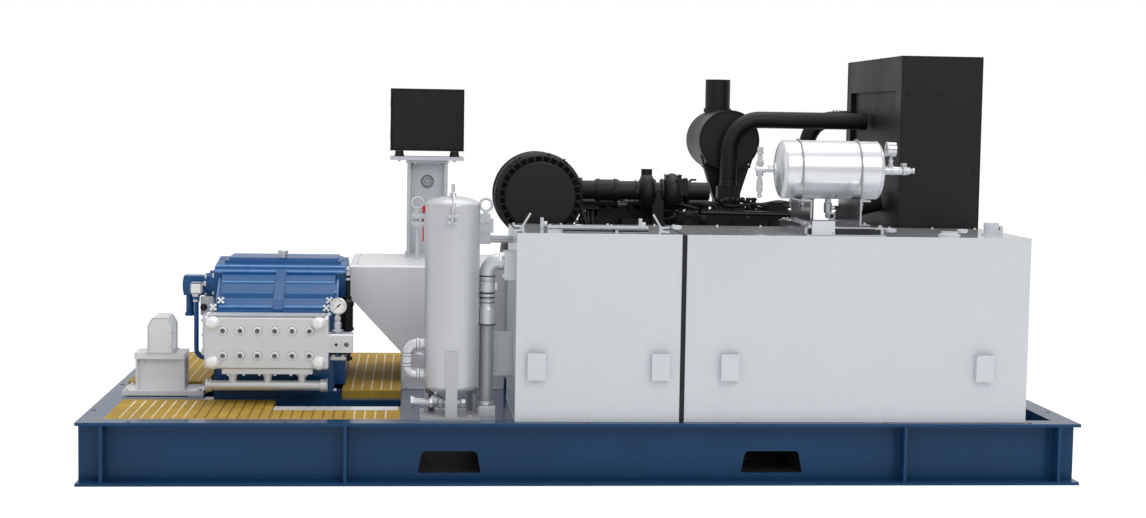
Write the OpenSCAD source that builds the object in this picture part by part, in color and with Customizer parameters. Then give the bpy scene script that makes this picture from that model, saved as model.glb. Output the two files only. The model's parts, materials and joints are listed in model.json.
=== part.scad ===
// Skid-mounted diesel high-pressure pump unit, in millimetres.
// Origin: centre of the base underside. X runs along the skid to the radiator,
// Y runs away from the pump's valve side, Z is up.

/* [Base frame] */
// Overall length of the skid
base_length = 4800; // [4600:10:5200]
// Overall width of the skid
base_width = 2400; // [2350:10:2600]
// Height of the channel sections
base_height = 300; // [260:5:340]
// Flange width of the channel sections, web included
channel_flange = 112; // [90:1:130]
// Flange thickness of the channel sections
flange_thickness = 15; // [10:1:20]
// Web thickness of the channel sections and cross members
web_thickness = 12; // [8:1:16]
// Thickness of the stiffener plates inside the long channels
stiffener_thickness = 15; // [8:1:25]
// Flange width of the cross members
cross_member_width = 80; // [60:1:90]
// Thickness of the plate deck under tanks and engine
deck_thickness = 8; // [6:1:12]
// Width of a fork pocket at its foot
fork_pocket_width = 300; // [260:5:320]
// Height of a fork pocket
fork_pocket_height = 105; // [90:1:120]
// Height of the lower edge of a fork pocket
fork_pocket_sill = 45; // [30:1:60]
// Distance between the middles of the two fork pockets
fork_pocket_spacing = 1560; // [1500:5:1600]
// Place of the middle between the two fork pockets
fork_pocket_middle = 118; // [100:1:140]

/* [Gratings] */
// Thickness of the moulded gratings
grating_thickness = 38; // [25:1:50]
// Distance between two slots of a grating
grating_pitch = 50; // [40:1:60]
// Width of one slot
grating_slot = 9; // [5:1:15]
// Width of the solid border of a grating
grating_border = 22; // [15:1:30]

/* [High-pressure pump] */
// Left side of the pump crankcase
pump_left = -1865; // [-1900:1:-1840]
// Width of the pump crankcase
pump_width = 676; // [640:1:700]
// Width of the crosshead housing
crosshead_width = 577; // [540:1:600]
// Radius of the rounded crankcase barrel
crankcase_radius = 340; // [320:1:350]
// Height of the crankshaft axis
crankshaft_height = 642; // [635:1:660]
// Distance of the crankshaft behind the skid's middle line
crankshaft_y = 100; // [80:1:120]
// Width of the stainless fluid end block
fluid_end_width = 607; // [590:1:640]
// Depth of the fluid end block
fluid_end_depth = 160; // [140:1:180]
// Height of the fluid end block
fluid_end_height = 264; // [240:1:280]
// Number of valve plugs in one row
plug_count = 6; // [4:1:7]
// Distance between two valve plugs
plug_pitch = 85; // [75:1:90]
// Radius of a valve plug
plug_radius = 21; // [15:1:26]
// Outer radius of the suction manifold
manifold_radius = 25; // [20:1:32]
// Radius of the pressure gauge
gauge_radius = 42; // [35:1:50]

/* [Coupling guard and control panel] */
// Height of the coupling guard's top
guard_top = 955; // [930:1:970]
// Depth of the coupling guard
guard_depth = 800; // [760:5:820]
// Width of the column section
column_width = 226; // [200:1:240]
// Height of the shelf under the control panel
shelf_height = 1500; // [1450:5:1550]
// Width of the control panel
panel_width = 409; // [380:1:440]
// Height of the control panel
panel_height = 345; // [320:1:370]

/* [Pressure vessel] */
// Outer radius of the standing vessel
vessel_radius = 131; // [120:1:140]
// Wall of the standing vessel
vessel_wall = 8; // [6:1:12]
// Height where the straight shell starts
vessel_shell_foot = 455; // [430:1:480]
// Length of the straight shell
vessel_shell_length = 866; // [820:1:900]
// Depth of the dished heads
vessel_head_depth = 42; // [36:1:60]
// Outer radius of the riser's bend beside the vessel
riser_radius = 38; // [34:1:40]

/* [Tanks] */
// Height of both tanks above the base
tank_height = 900; // [860:5:940]
// Depth of both tanks
tank_depth = 797; // [760:1:797]
// Width of the left tank
left_tank_width = 786; // [760:1:786]
// Width of the seal strip between the tanks
seal_width = 25; // [15:1:30]
// Width of the fuel tank
fuel_tank_width = 1679; // [1640:1:1700]
// Sheet thickness of the tanks
tank_wall = 5; // [4:1:8]

/* [Air receiver] */
// Outer radius of the air receiver
receiver_radius = 145; // [130:1:150]
// Length of the receiver's straight shell
receiver_length = 467; // [440:1:490]
// Wall of the air receiver
receiver_wall = 6; // [4:1:10]
// Height of the receiver's axis
receiver_axis_height = 1509; // [1500:1:1530]

/* [Engine] */
// Distance of the engine's middle line behind the skid's
engine_y = 250; // [230:1:260]
// Radius of the air filter
filter_radius = 232; // [215:1:240]
// Radius of the filter's front disc
filter_disc_radius = 181; // [165:1:190]
// Length of the air filter
filter_length = 430; // [400:1:440]
// Radius of the muffler
muffler_radius = 171; // [160:1:180]
// Length of the muffler
muffler_length = 500; // [470:1:520]
// Outer radius of the exhaust stack
stack_radius = 72; // [60:1:75]
// Height of the exhaust stack's mouth
stack_top = 1986; // [1940:1:2000]
// Outer radius of the charge air pipes
charge_pipe_radius = 47; // [40:1:52]

/* [Radiator] */
// Width of the radiator box
radiator_width = 430; // [400:1:440]
// Depth of the radiator box
radiator_depth = 1190; // [1150:5:1220]
// Height of the radiator's top above the ground
radiator_top = 2100; // [2050:5:2150]

/* [Hidden] */
$fn = 48;

frame_blue = "#28405c";
pump_blue = "#2d6099";
grating_yellow = "#aa8c28";
light_grey = "#d2d3d6";
engine_black = "#282828";
stainless = "#c8ccd0";

half_l = base_length/2;
half_w = base_width/2;
web_y = half_w - channel_flange;
web_x = half_l - channel_flange;
deck_left = 1500 - half_l;
deck_right = half_l - 265;
pump_right = pump_left + pump_width;
pump_middle = pump_left + pump_width/2;
rail_front = -482;
rail_back = -395;
touch = 0.3;

// Extrudes a (Y, Z) outline along X from x0
module along_x(x0, length) {
    translate([x0, 0, 0]) rotate([90, 0, 90]) linear_extrude(length) children();
}

// Extrudes an (X, Z) outline along Y from y0
module along_y(y0, length) {
    translate([0, y0 + length, 0]) rotate([90, 0, 0]) linear_extrude(length) children();
}

// Box given by its low and high corners
module box(low, high) {
    translate(low) cube([high[0] - low[0], high[1] - low[1], high[2] - low[2]]);
}

// Round bar along X, Y or Z from a start point
module bar_x(p, r, length) { translate(p) rotate([0, 90, 0]) cylinder(r = r, h = length); }
module bar_y(p, r, length) { translate(p) rotate([-90, 0, 0]) cylinder(r = r, h = length); }
module bar_z(p, r, length) { translate(p) cylinder(r = r, h = length); }

// Channel outline, web at the right, flanges to the left of it
module channel_outline(height, flange) {
    difference() {
        translate([-flange, 0]) square([flange, height]);
        translate([-flange - 1, flange_thickness])
            square([flange - web_thickness + 1, height - 2*flange_thickness]);
    }
}

// Upright I outline centred on zero
module i_outline(width, low, high) {
    translate([-width/2, low]) square([width, 10]);
    translate([-width/2, high - 10]) square([width, 10]);
    translate([-4, low]) square([8, high - low]);
}

// Outline of one fork pocket, its foot wider than its top
module fork_pocket_outline() {
    r = 25;
    top = fork_pocket_width - 30;
    translate([0, fork_pocket_sill]) union() {
        polygon([[-fork_pocket_width/2, 0], [fork_pocket_width/2, 0],
            [top/2, fork_pocket_height - r], [top/2 - r, fork_pocket_height],
            [-top/2 + r, fork_pocket_height], [-top/2, fork_pocket_height - r]]);
        for (side = [-1, 1])
            translate([side*(top/2 - r), fork_pocket_height - r]) circle(r = r);
    }
}

stiffener_places = [117 - half_l, 1246 - half_l, half_l - 866, half_l - 102];

// Long channel with stiffeners and the two fork pockets, drawn on the front side
module long_beam() {
    difference() {
        union() {
            along_x(-half_l, base_length)
                translate([-web_y, 0]) channel_outline(base_height, channel_flange);
            for (x = stiffener_places)
                box([x - stiffener_thickness/2, -half_w + 4, flange_thickness - 1],
                    [x + stiffener_thickness/2, -web_y - 1, base_height - flange_thickness + 1]);
        }
        for (side = [-1, 1])
            along_y(-half_w - 10, channel_flange + 20)
                translate([fork_pocket_middle + side*fork_pocket_spacing/2, 0])
                fork_pocket_outline();
    }
}

module base_front_beam() { color(frame_blue) long_beam(); }
module base_rear_beam() { color(frame_blue) mirror([0, 1, 0]) long_beam(); }

// End channel between the long channels, drawn on the left side
module end_beam() {
    along_y(-web_y, 2*web_y)
        translate([-web_x, 0]) channel_outline(base_height, channel_flange);
}

module base_left_beam() { color(frame_blue) end_beam(); }
module base_right_beam() { color(frame_blue) mirror([1, 0, 0]) end_beam(); }

full_member_places = [deck_left + 40, -460, 120, 700, 1090, 1600, deck_right - 40];
grating_member_places = [-1940, -1190];
strip_member_places = [-2200, -1780, -1340];
member_top = base_height - deck_thickness;

// Cross members under the plate deck
module base_cross_members() {
    color(frame_blue)
        for (x = full_member_places)
            along_y(-web_y, 2*web_y)
                translate([x, 0]) i_outline(cross_member_width, flange_thickness, member_top);
}

// Two sheet tunnels behind the fork pockets, from web to web
module fork_tunnels() {
    sheet = 5;
    width = fork_pocket_width + 6;
    low = fork_pocket_sill - sheet - 1;
    high = fork_pocket_sill + fork_pocket_height + sheet + 1;
    color(frame_blue)
        for (side = [-1, 1])
            along_y(-web_y, 2*web_y)
                translate([fork_pocket_middle + side*fork_pocket_spacing/2, 0]) difference() {
                    translate([-width/2 - sheet/2, low]) square([width + sheet, high - low]);
                    translate([-width/2 + sheet/2, low + sheet])
                        square([width - sheet, high - low - 2*sheet]);
                }
}

pump_rail_front = 380;
pump_rail_width = 80;

// Members and rails of the open bay under the pump
module pump_bay_members() {
    color(frame_blue) union() {
        for (x = grating_member_places)
            along_y(rail_back, web_y - rail_back)
                translate([x, 0]) i_outline(cross_member_width, flange_thickness, base_height);
        for (x = strip_member_places)
            along_y(-web_y, web_y + rail_front)
                translate([x, 0]) i_outline(60, flange_thickness,
                    base_height - grating_thickness);
        box([-web_x, rail_front, 100], [deck_left, rail_back, base_height]);
        box([grating_member_places[0] - 4, pump_rail_front, 100],
            [grating_member_places[1] + 4, pump_rail_front + pump_rail_width, base_height]);
    }
}

// Two rails that carry the engine on the deck
module engine_rails() {
    color(frame_blue)
        for (y = [engine_y - 330, engine_y + 330])
            box([left_tank_x, y - 35, base_height], [radiator_left - 5, y + 35, base_height + 100]);
}

// Plate deck under the tanks, the engine and the vessel
module deck_plate() {
    color(frame_blue) box([deck_left, -web_y, member_top], [deck_right, web_y, base_height]);
}

// Slotted grating panel between two corners, slots along Y
module grating(low, high, z) {
    count = floor((high[0] - low[0] - 2*grating_border)/grating_pitch);
    first = (low[0] + high[0])/2 - (count - 1)*grating_pitch/2;
    translate([0, 0, z]) linear_extrude(grating_thickness) difference() {
        translate(low) square(high - low);
        for (i = [0:count - 1])
            translate([first + i*grating_pitch - grating_slot/2, low[1] + grating_border])
                square([grating_slot, high[1] - low[1] - 2*grating_border]);
    }
}

// Flush walkway grating at the front, with the trench cut out of it
module front_grating() {
    trench_left = -1527;
    trench_front = -702;
    trench_back = -494;
    z = base_height - grating_thickness;
    color(grating_yellow) difference() {
        grating([-web_x, -web_y], [deck_left, rail_front], z);
        box([trench_left, trench_front, z - 1], [deck_left + 1, trench_back, base_height + 1]);
    }
}

rear_grating_edge = half_w - 86;

// Raised gratings on both sides of the pump bay
module rear_gratings() {
    color(grating_yellow) {
        grating([80 - half_l, -108], [grating_member_places[0] + 27, rear_grating_edge],
            base_height);
        grating([deck_left - 300, -417], [deck_left, rear_grating_edge], base_height);
    }
}

pedestal_top = base_height + 45;

pedestal_left = pump_left + 25;
pedestal_right = pump_right - 16;

// Two bars under the pump's feet
module pump_pedestal() {
    color(frame_blue) {
        box([pedestal_left, rail_front + 2, base_height],
            [pedestal_right, rail_back - 2, pedestal_top]);
        box([pedestal_left, pump_rail_front + 2, base_height],
            [pedestal_right, pump_rail_front + pump_rail_width - 2, pedestal_top]);
    }
}

crosshead_front = -490;
crosshead_back = -240;

lid_left = pump_left + 58;
lid_right = pump_right - 51;
foot_back = pump_rail_front + pump_rail_width - 10;

// Barrel-shaped crankcase with its stepped lid, bearing covers, breather and shaft end
module pump_crankcase() {
    lid_top = crankshaft_height + crankcase_radius + 6;
    color(pump_blue) union() {
        along_x(pump_left, pump_width) difference() {
            union() {
                translate([crankshaft_y, crankshaft_height])
                    circle(r = crankcase_radius, $fn = 96);
                polygon([[crosshead_back, pedestal_top], [crosshead_back, 926], [-190, 949],
                    [-100, 962], [0, 968], [250, 940], [250, pedestal_top]]);
                translate([200, pedestal_top]) square([foot_back - 200, 60]);
            }
            translate([crosshead_back - 1, 0]) square([900, pedestal_top]);
        }
        along_x(lid_left, lid_right - lid_left)
            polygon([[-70, 930], [-52, lid_top - 6], [-40, lid_top], [240, lid_top],
                [250, lid_top - 8], [258, 930]]);
        along_x(lid_left - 18, lid_right - lid_left + 36)
            polygon([[-110, 930], [-92, lid_top - 12], [272, lid_top - 12], [284, 920]]);
        bar_x([pump_left - 14, crankshaft_y + 60, crankshaft_height], 210, pump_width + 28);
        bar_x([pump_left - 26, crankshaft_y + 60, crankshaft_height], 120, 14);
        bar_x([pump_right - 1, engine_y, crankshaft_height], 60, guard_left - pump_right + 1);
        for (x = [pump_left + 4, pump_right - 64])
            box([x, foot_back - 1, pedestal_top], [x + 60, foot_back + 29, pedestal_top + 60]);
    }
    color(stainless) {
        bar_z([-1528, -15, lid_top], 14, 13);
        bar_z([-1528, -15, lid_top + 12], 24, 14);
    }
}

crosshead_left = -1819;

crosshead_right = crosshead_left + crosshead_width;
cheek = 14;
crosshead_slope = [[-470, 771], [-440, 794], [-430, 802], [-330, 874], [-320, 880],
    [-290, 907], [crosshead_back, 926]];

// Crosshead housing with its sloping front, middle rib, end cheeks and stud rails
module pump_crosshead_housing() {
    color(pump_blue) union() {
        along_x(crosshead_left, crosshead_width)
            polygon(concat([[crosshead_front, pedestal_top], [crosshead_front, 746]],
                crosshead_slope, [[crosshead_back, pedestal_top]]));
        along_x(-1545, 50)
            polygon([[crosshead_front, 600], [crosshead_front, 762], [-445, 806],
                [-334, 886], [crosshead_back, 942], [crosshead_back, 600]]);
        for (x = [crosshead_left - cheek, crosshead_right - 1])
            along_x(x, cheek + 1)
                polygon([[crosshead_back, 900], [crosshead_back, 480], [-400, 480],
                    [-400, 800]]);
        for (x = [crosshead_left + 8, -1490])
            along_x(x, 260)
                polygon([[-418, 812], [-406, 832], [-352, 871], [-342, 860]]);
    }
}

fluid_left = -1867;
fluid_front = crosshead_front - fluid_end_depth;
fluid_bottom = 478;
fluid_top = fluid_bottom + fluid_end_height;
fluid_right = fluid_left + fluid_end_width;
plug_first = fluid_left + 89;

suction_plate_left = fluid_left + 84;
suction_plate_right = fluid_right - 78;
suction_plate_bottom = fluid_bottom - 26;

// Stainless valve block with chamfered edges and the suction flange plate under it
module pump_fluid_end() {
    edge = 14;
    color(stainless) union() {
        along_x(fluid_left, fluid_end_width)
            polygon([[crosshead_front, fluid_bottom], [crosshead_front, fluid_top],
                [fluid_front + edge, fluid_top], [fluid_front, fluid_top - edge],
                [fluid_front, fluid_bottom + edge/2], [fluid_front + edge/2, fluid_bottom]]);
        box([suction_plate_left, fluid_front + 12, suction_plate_bottom],
            [suction_plate_right, fluid_front + 105, fluid_bottom]);
        for (i = [0:5])
            translate([suction_plate_left + 30 + i*77, fluid_front + 20, suction_plate_bottom - 9])
                cylinder(r = 7, h = 10, $fn = 6);
    }
}

plug_low = fluid_bottom + 67;
plug_high = fluid_top - 73;

// Valve plugs with hexagon sockets and the domed tie nuts on the block's face
module pump_plugs() {
    color(stainless) {
        for (i = [0:plug_count - 1], z = [plug_low, plug_high])
            translate([plug_first + i*plug_pitch, fluid_front, z]) rotate([90, 0, 0])
                difference() {
                    union() {
                        cylinder(r = plug_radius, h = 8, $fn = 32);
                        cylinder(r = plug_radius - 5, h = 13, $fn = 32);
                    }
                    translate([0, 0, 3]) cylinder(r = 8, h = 11, $fn = 6);
                }
        for (x = [fluid_left + 40, fluid_right - 46], z = [fluid_bottom + 32, fluid_top - 34])
            translate([x, fluid_front, z]) rotate([90, 0, 0]) rotate_extrude($fn = 32)
                polygon([[0, 0], [33, 0], [33, 8], [29, 10], [29, 22], [24, 30], [14, 34],
                    [0, 36]]);
    }
}

manifold_y = fluid_front + 50;
manifold_z = 390;

manifold_left = fluid_left + 5;
manifold_right = fluid_right - 15;
branch_places = [fluid_left + 135, fluid_left + 307, fluid_left + 476];

// Suction manifold with three flanged branches and end couplings
module suction_manifold() {
    color(stainless) union() {
        bar_x([manifold_left, manifold_y, manifold_z], manifold_radius,
            manifold_right - manifold_left);
        for (x = [manifold_left - 4, manifold_right - 26])
            bar_x([x, manifold_y, manifold_z], manifold_radius + 7, 30);
        for (x = branch_places) {
            bar_z([x, manifold_y, manifold_z], 20, suction_plate_bottom - manifold_z);
            bar_z([x, manifold_y, suction_plate_bottom - 12], 27, 12);
        }
    }
}

discharge_bottom = 562;
discharge_top = 655;
discharge_right = fluid_right + 120;
outlet_radius = 12;
outlet_depth = 60;

// Discharge block on the right of the valve block, with its open outlet
module discharge_block() {
    edge = 8;
    z = discharge_bottom + 41;
    color(stainless) difference() {
        union() {
            along_x(fluid_right, discharge_right - fluid_right)
                polygon([[fluid_front + 100, discharge_bottom], [fluid_front + 100, discharge_top],
                    [fluid_front + edge, discharge_top], [fluid_front, discharge_top - edge],
                    [fluid_front, discharge_bottom]]);
            bar_y([fluid_right + 40, fluid_front - 8, z], 26, 9);
            bar_y([fluid_right + 40, fluid_front - 14, z], 18, 15);
            for (x = [fluid_right + 24, fluid_right + 72]) {
                bar_z([x, manifold_y, discharge_bottom - 14], 16, 15);
                bar_z([x, manifold_y, discharge_bottom - 34], 11, 21);
            }
            bar_x([fluid_right + 10, manifold_y, discharge_bottom - 34], 11, 78);
            translate([fluid_right + 47, manifold_y, discharge_top - 1])
                cylinder(r = 20, h = 12, $fn = 6);
        }
        bar_y([discharge_right - 30, fluid_front - 1, z], outlet_radius, outlet_depth + 1);
        translate([fluid_right + 40, fluid_front - 15, z]) rotate([-90, 0, 0])
            cylinder(r = 9, h = 10, $fn = 6);
    }
}

gauge_z = 792;
gauge_x = fluid_right + 47;

// Pressure gauge with a raised bezel on its adaptor
module pressure_gauge() {
    adaptor_foot = discharge_top + 11;
    color(stainless) union() {
        bar_z([gauge_x, manifold_y, adaptor_foot], 15, 28);
        translate([gauge_x, manifold_y, adaptor_foot + 26]) cylinder(r = 17, h = 18, $fn = 6);
        bar_z([gauge_x, manifold_y, adaptor_foot + 40], 9, gauge_z - adaptor_foot - 40);
        translate([gauge_x, manifold_y + 14, gauge_z]) rotate([90, 0, 0]) rotate_extrude()
            polygon([[0, 0], [gauge_radius - 4, 0], [gauge_radius - 4, 26], [gauge_radius, 28],
                [gauge_radius, 36], [gauge_radius - 6, 38], [gauge_radius - 6, 33], [0, 33]]);
    }
}

lube_y = -165;
lube_z = 852;

// Oil pump with its round flange, a fitting cube and a small motor under it
module lube_oil_pump() {
    left = pump_left - 46;
    color(pump_blue) union() {
        bar_x([pump_left - 26, lube_y, lube_z], 76, 26);
        bar_x([left, lube_y, lube_z], 62, 22);
        box([left - 111, lube_y - 50, lube_z - 50], [left + 1, lube_y + 50, lube_z + 50]);
        bar_x([left - 118, lube_y, lube_z], 34, 10);
        bar_z([left - 84, lube_y, lube_z - 152], 20, 103);
        bar_z([left - 84, lube_y, lube_z - 160], 26, 16);
        for (angle = [45:90:315])
            translate([pump_left - 40, lube_y + 64*cos(angle), lube_z + 64*sin(angle)])
                rotate([0, 90, 0]) cylinder(r = 8, h = 15, $fn = 6);
    }
}

hose_x = pump_left - 84;
hose_y = lube_y - 115;
hose_low = 487;
hose_bend = 46;

// Fitting cube on the oil pump and the hose from it down to the crosshead housing
module lube_oil_pipe() {
    cube_half = 28;
    hose_radius = 12;
    color(pump_blue) union() {
        box([hose_x - cube_half, hose_y - cube_half, lube_z - cube_half - 4],
            [hose_x + cube_half, hose_y + cube_half, lube_z + cube_half - 4]);
        bar_y([hose_x, hose_y, lube_z - 4], 16, lube_y - 50 - hose_y);
        bar_z([hose_x, hose_y, lube_z - 64], 17, 34);
        bar_z([hose_x, hose_y, hose_low + hose_bend], hose_radius,
            lube_z - 40 - hose_low - hose_bend);
        pipe_bend([hose_x + hose_bend, hose_y, hose_low + hose_bend], hose_bend,
            hose_radius, 180);
        bar_x([hose_x + hose_bend - 0.1, hose_y, hose_low], hose_radius,
            crosshead_left - cheek - hose_x - hose_bend + 0.1);
        bar_x([crosshead_left - cheek - 26, hose_y, hose_low], 18, 26);
    }
}

// Black oil filter canister and its head beside the crosshead housing
module pump_oil_filter() {
    x = pump_right + 9;
    y = crosshead_back - 60;
    color(engine_black) union() {
        translate([x, y, 631]) rotate_extrude()
            polygon([[0, 0], [26, 0], [31, 8], [31, 128], [34, 130], [34, 152], [22, 166],
                [22, 180], [0, 180]]);
        box([crosshead_right + cheek, y - 22, 690], [x - 20, y + 22, 770]);
        bar_z([x + 4, y, 805], 12, 110);
    }
}

aux_left = 148 - half_l;
aux_right = aux_left + 246;
aux_front = -330;
aux_back = -130;
aux_top = base_height + 214;

// Bent sheet bracket at the skid's left end
module aux_bracket() {
    sheet = 10;
    plate_top = base_height + 24;
    color(light_grey) union() {
        box([aux_left - 61, aux_front - 28, base_height], [aux_right + 101, aux_back + 18, plate_top]);
        box([aux_left, aux_front + 22, plate_top], [aux_left + sheet, aux_back, aux_top]);
        box([aux_right - sheet, aux_front + 22, plate_top], [aux_right, aux_back, aux_top]);
        box([aux_left, aux_front + 40, plate_top], [aux_right, aux_front + 40 + sheet, aux_top]);
        box([aux_left - 4, aux_front, aux_top - sheet], [aux_right + 4, aux_back, aux_top]);
        box([aux_left - 4, aux_front, aux_top - 30], [aux_right + 4, aux_front + sheet, aux_top]);
    }
}

cover_left = aux_left + 65;
cover_right = aux_right - 60;
cover_top = aux_top + 181;

// Cover with chamfered shoulders on the bracket, with a foot flange
module aux_cover() {
    color(light_grey) {
        along_y(aux_front, aux_back - aux_front)
            polygon([[cover_left, aux_top], [cover_right, aux_top], [cover_right, cover_top - 40],
                [cover_right - 24, cover_top], [cover_left + 24, cover_top],
                [cover_left, cover_top - 40]]);
    }
}

guard_left = -1170;
guard_right = -360;
guard_front = -100;

// Sheet housing over the shaft coupling between pump and engine
module coupling_guard() {
    chamfer = 8;
    color(light_grey) intersection() {
        along_y(guard_front, guard_depth)
            polygon([[deck_left, base_height], [guard_right, base_height],
                [guard_right, guard_top], [guard_left, guard_top], [guard_left, 790],
                [deck_left, 500]]);
        along_x(guard_left - 1, guard_right - guard_left + 2)
            polygon([[guard_front, 0], [guard_front + guard_depth, 0],
                [guard_front + guard_depth, guard_top],
                [guard_front + chamfer, guard_top], [guard_front, guard_top - chamfer]]);
    }
}

column_left = -880;
column_front = 500;
column_depth = 180;

column_right = column_left + column_width;
column_back = column_front + column_depth;

// Column of H section standing on the guard, with end plates and a round boss
module panel_column() {
    flange = 18;
    web = 12;
    web_front = column_front + column_depth/2 - 20;
    color(light_grey) union() {
        for (x = [column_left, column_right - flange])
            box([x, column_front, guard_top], [x + flange, column_back, shelf_height]);
        box([column_left + 1, web_front, guard_top], [column_right - 1, web_front + web, shelf_height]);
        box([column_left - 6, column_front - 8, guard_top],
            [column_right + 6, column_back + 8, guard_top + 18]);
        box([column_left - 6, column_front - 8, shelf_height - 14],
            [column_right + 6, column_back + 8, shelf_height]);
        bar_y([column_left + column_width/2, web_front - 8, shelf_height - 120], 34, 9);
    }
}

shelf_left = -975;
shelf_front = 470;
shelf_thickness = 20;
foot_height = 32;
panel_bottom = shelf_height + shelf_thickness + foot_height;

// Shelf with a folded front edge and four waisted rubber feet
module panel_shelf() {
    back = shelf_front + 240;
    color(light_grey) box([shelf_left, shelf_front, shelf_height],
        [shelf_left + panel_width, back, shelf_height + shelf_thickness]);
    color(engine_black)
        for (x = [shelf_left + 50, shelf_left + panel_width - 50], y = [shelf_front + 40, back - 40])
            translate([x, y, shelf_height + shelf_thickness]) rotate_extrude($fn = 32)
                polygon([[0, 0], [22, 0], [22, 5], [16, 10], [16, foot_height - 10],
                    [22, foot_height - 5], [22, foot_height], [0, foot_height]]);
}

// Black control panel with its raised door and two side hinges
module control_panel() {
    right = shelf_left + panel_width;
    top = panel_bottom + panel_height;
    color(engine_black) union() {
        box([shelf_left, shelf_front + 12, panel_bottom], [right, shelf_front + 230, top]);
        box([shelf_left + 12, shelf_front, panel_bottom + 12], [right - 12, shelf_front + 13, top - 12]);
        for (z = [panel_bottom + 60, top - 100])
            bar_z([shelf_left + 6, shelf_front + 6, z], 7, 40);
        box([right - 40, shelf_front - 7, panel_bottom + 150],
            [right - 26, shelf_front + 1, panel_bottom + 200]);
    }
}

vessel_x = -656;
vessel_y = -980;
vessel_shell_top = vessel_shell_foot + vessel_shell_length;

// Straight shell of the standing vessel
module vessel_shell() {
    color(stainless) translate([vessel_x, vessel_y, vessel_shell_foot]) difference() {
        cylinder(r = vessel_radius, h = vessel_shell_length, $fn = 96);
        translate([0, 0, -1])
            cylinder(r = vessel_radius - vessel_wall, h = vessel_shell_length + 2, $fn = 96);
    }
}

// Outline of a dished head, from the axis outwards
function dish(r, depth, steps) = [for (i = [0:steps])
    [r*cos(90 - 90*i/steps), depth*sin(90 - 90*i/steps)]];

// Dished head of a given outer radius, open side down
module dished_head(r, depth, wall) {
    rotate_extrude($fn = 96) polygon(concat(dish(r, depth, 10),
        [for (i = [10:-1:0]) dish(r - wall, depth - wall, 10)[i]]));
}

// Both dished heads of the vessel
module vessel_heads() {
    color(stainless) {
        translate([vessel_x, vessel_y, vessel_shell_top])
            dished_head(vessel_radius, vessel_head_depth, vessel_wall);
        translate([vessel_x, vessel_y, vessel_shell_foot]) mirror([0, 0, 1])
            dished_head(vessel_radius, vessel_head_depth, vessel_wall);
    }
}

vessel_plate = 286;
vessel_plate_thickness = 15;
leg_bottom = base_height + vessel_plate_thickness;

// Three folded legs outside the shell and their base plate
module vessel_legs() {
    leg_top = vessel_shell_foot + 175;
    color(stainless) union() {
        translate([vessel_x - 7 - vessel_plate/2, vessel_y - vessel_plate/2, base_height])
            cube([vessel_plate, vessel_plate, vessel_plate_thickness]);
        for (angle = [-90, 35, 145])
            translate([vessel_x, vessel_y, leg_bottom - 1]) rotate([0, 0, angle])
                translate([vessel_radius + touch, 0, 0]) {
                    translate([0, -28, 0]) cube([5, 56, leg_top - leg_bottom]);
                    for (side = [-1, 1])
                        translate([-18, side*25.5 - 2.5, 0]) cube([20, 5, 90]);
                }
    }
}

inlet_radius = 20;
inlet_wall = 4;
inlet_z = 367;
inlet_end = -850;

loop_x = vessel_x - 210;
loop_top = 649;
loop_low = 502;
pipe_radius = 26;

// Quarter bend in the XZ plane about a centre, from one angle over 90 degrees
module pipe_bend(centre, bend, r, start) {
    translate(centre) rotate([90, 0, 0]) rotate([0, 0, start]) rotate_extrude(angle = 90)
        translate([bend, 0]) circle(r = r, $fn = 28);
}

// Vent on the top head, side loop with its bends, valve and the open inlet at the foot
module vessel_piping() {
    crown = vessel_shell_top + vessel_head_depth;
    bend = 44;
    shell_left = vessel_x - vessel_radius - touch;
    tee_top = vessel_shell_foot - vessel_head_depth;
    color(stainless) {
        bar_z([vessel_x, vessel_y, crown], 16, 14);
        bar_z([vessel_x, vessel_y, crown + 13], 8, 40);
        union() {
            bar_x([loop_x + bend, vessel_y, loop_top], pipe_radius, shell_left - loop_x - bend);
            bar_x([loop_x + bend, vessel_y, loop_top], pipe_radius + 5, 12);
            bar_x([loop_x + bend, vessel_y, loop_low], pipe_radius + 5, 12);
            pipe_bend([loop_x + bend, vessel_y, loop_top - bend], bend, pipe_radius, 90);
            bar_z([loop_x, vessel_y, loop_low + bend], pipe_radius,
                loop_top - loop_low - 2*bend);
            bar_z([loop_x, vessel_y, loop_top - bend - 10], pipe_radius + 5, 10);
            bar_z([loop_x, vessel_y, loop_low + bend], pipe_radius + 5, 10);
            pipe_bend([loop_x + bend, vessel_y, loop_low + bend], bend, pipe_radius, 180);
            bar_x([loop_x + bend, vessel_y, loop_low], pipe_radius, shell_left - loop_x - bend);
        }
        difference() {
            union() {
                bar_x([inlet_end, vessel_y, inlet_z], inlet_radius, vessel_x - inlet_end);
                bar_x([inlet_end, vessel_y, inlet_z], inlet_radius + 5, 22);
                bar_z([vessel_x, vessel_y, inlet_z - 24], 26, tee_top - inlet_z + 24);
                bar_x([vessel_x, vessel_y, inlet_z], 24, 46);
            }
            bar_x([inlet_end - 1, vessel_y, inlet_z], inlet_radius - inlet_wall, 121);
        }
    }
}

riser_x = -486;
riser_y = -950;
riser_elbow_z = 1050;

flange_half = 68;

// Height and radius steps of the riser's rings, coupling and sleeve, from the foot up
riser_steps = [[355, 33], [355, 40], [371, 40], [371, 33], [735, 33], [740, 37], [749, 40],
    [818, 40], [830, 36], [851, 36], [853, 40], [862, 40], [865, 35], [879, 35], [881, 40],
    [891, 40], [894, 35], [904, 35], [905, 40], [955, 40], [957, 34], [962, 34], [964, 40],
    [974, 40], [977, 35], [981, 35], [983, 38]];

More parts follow.
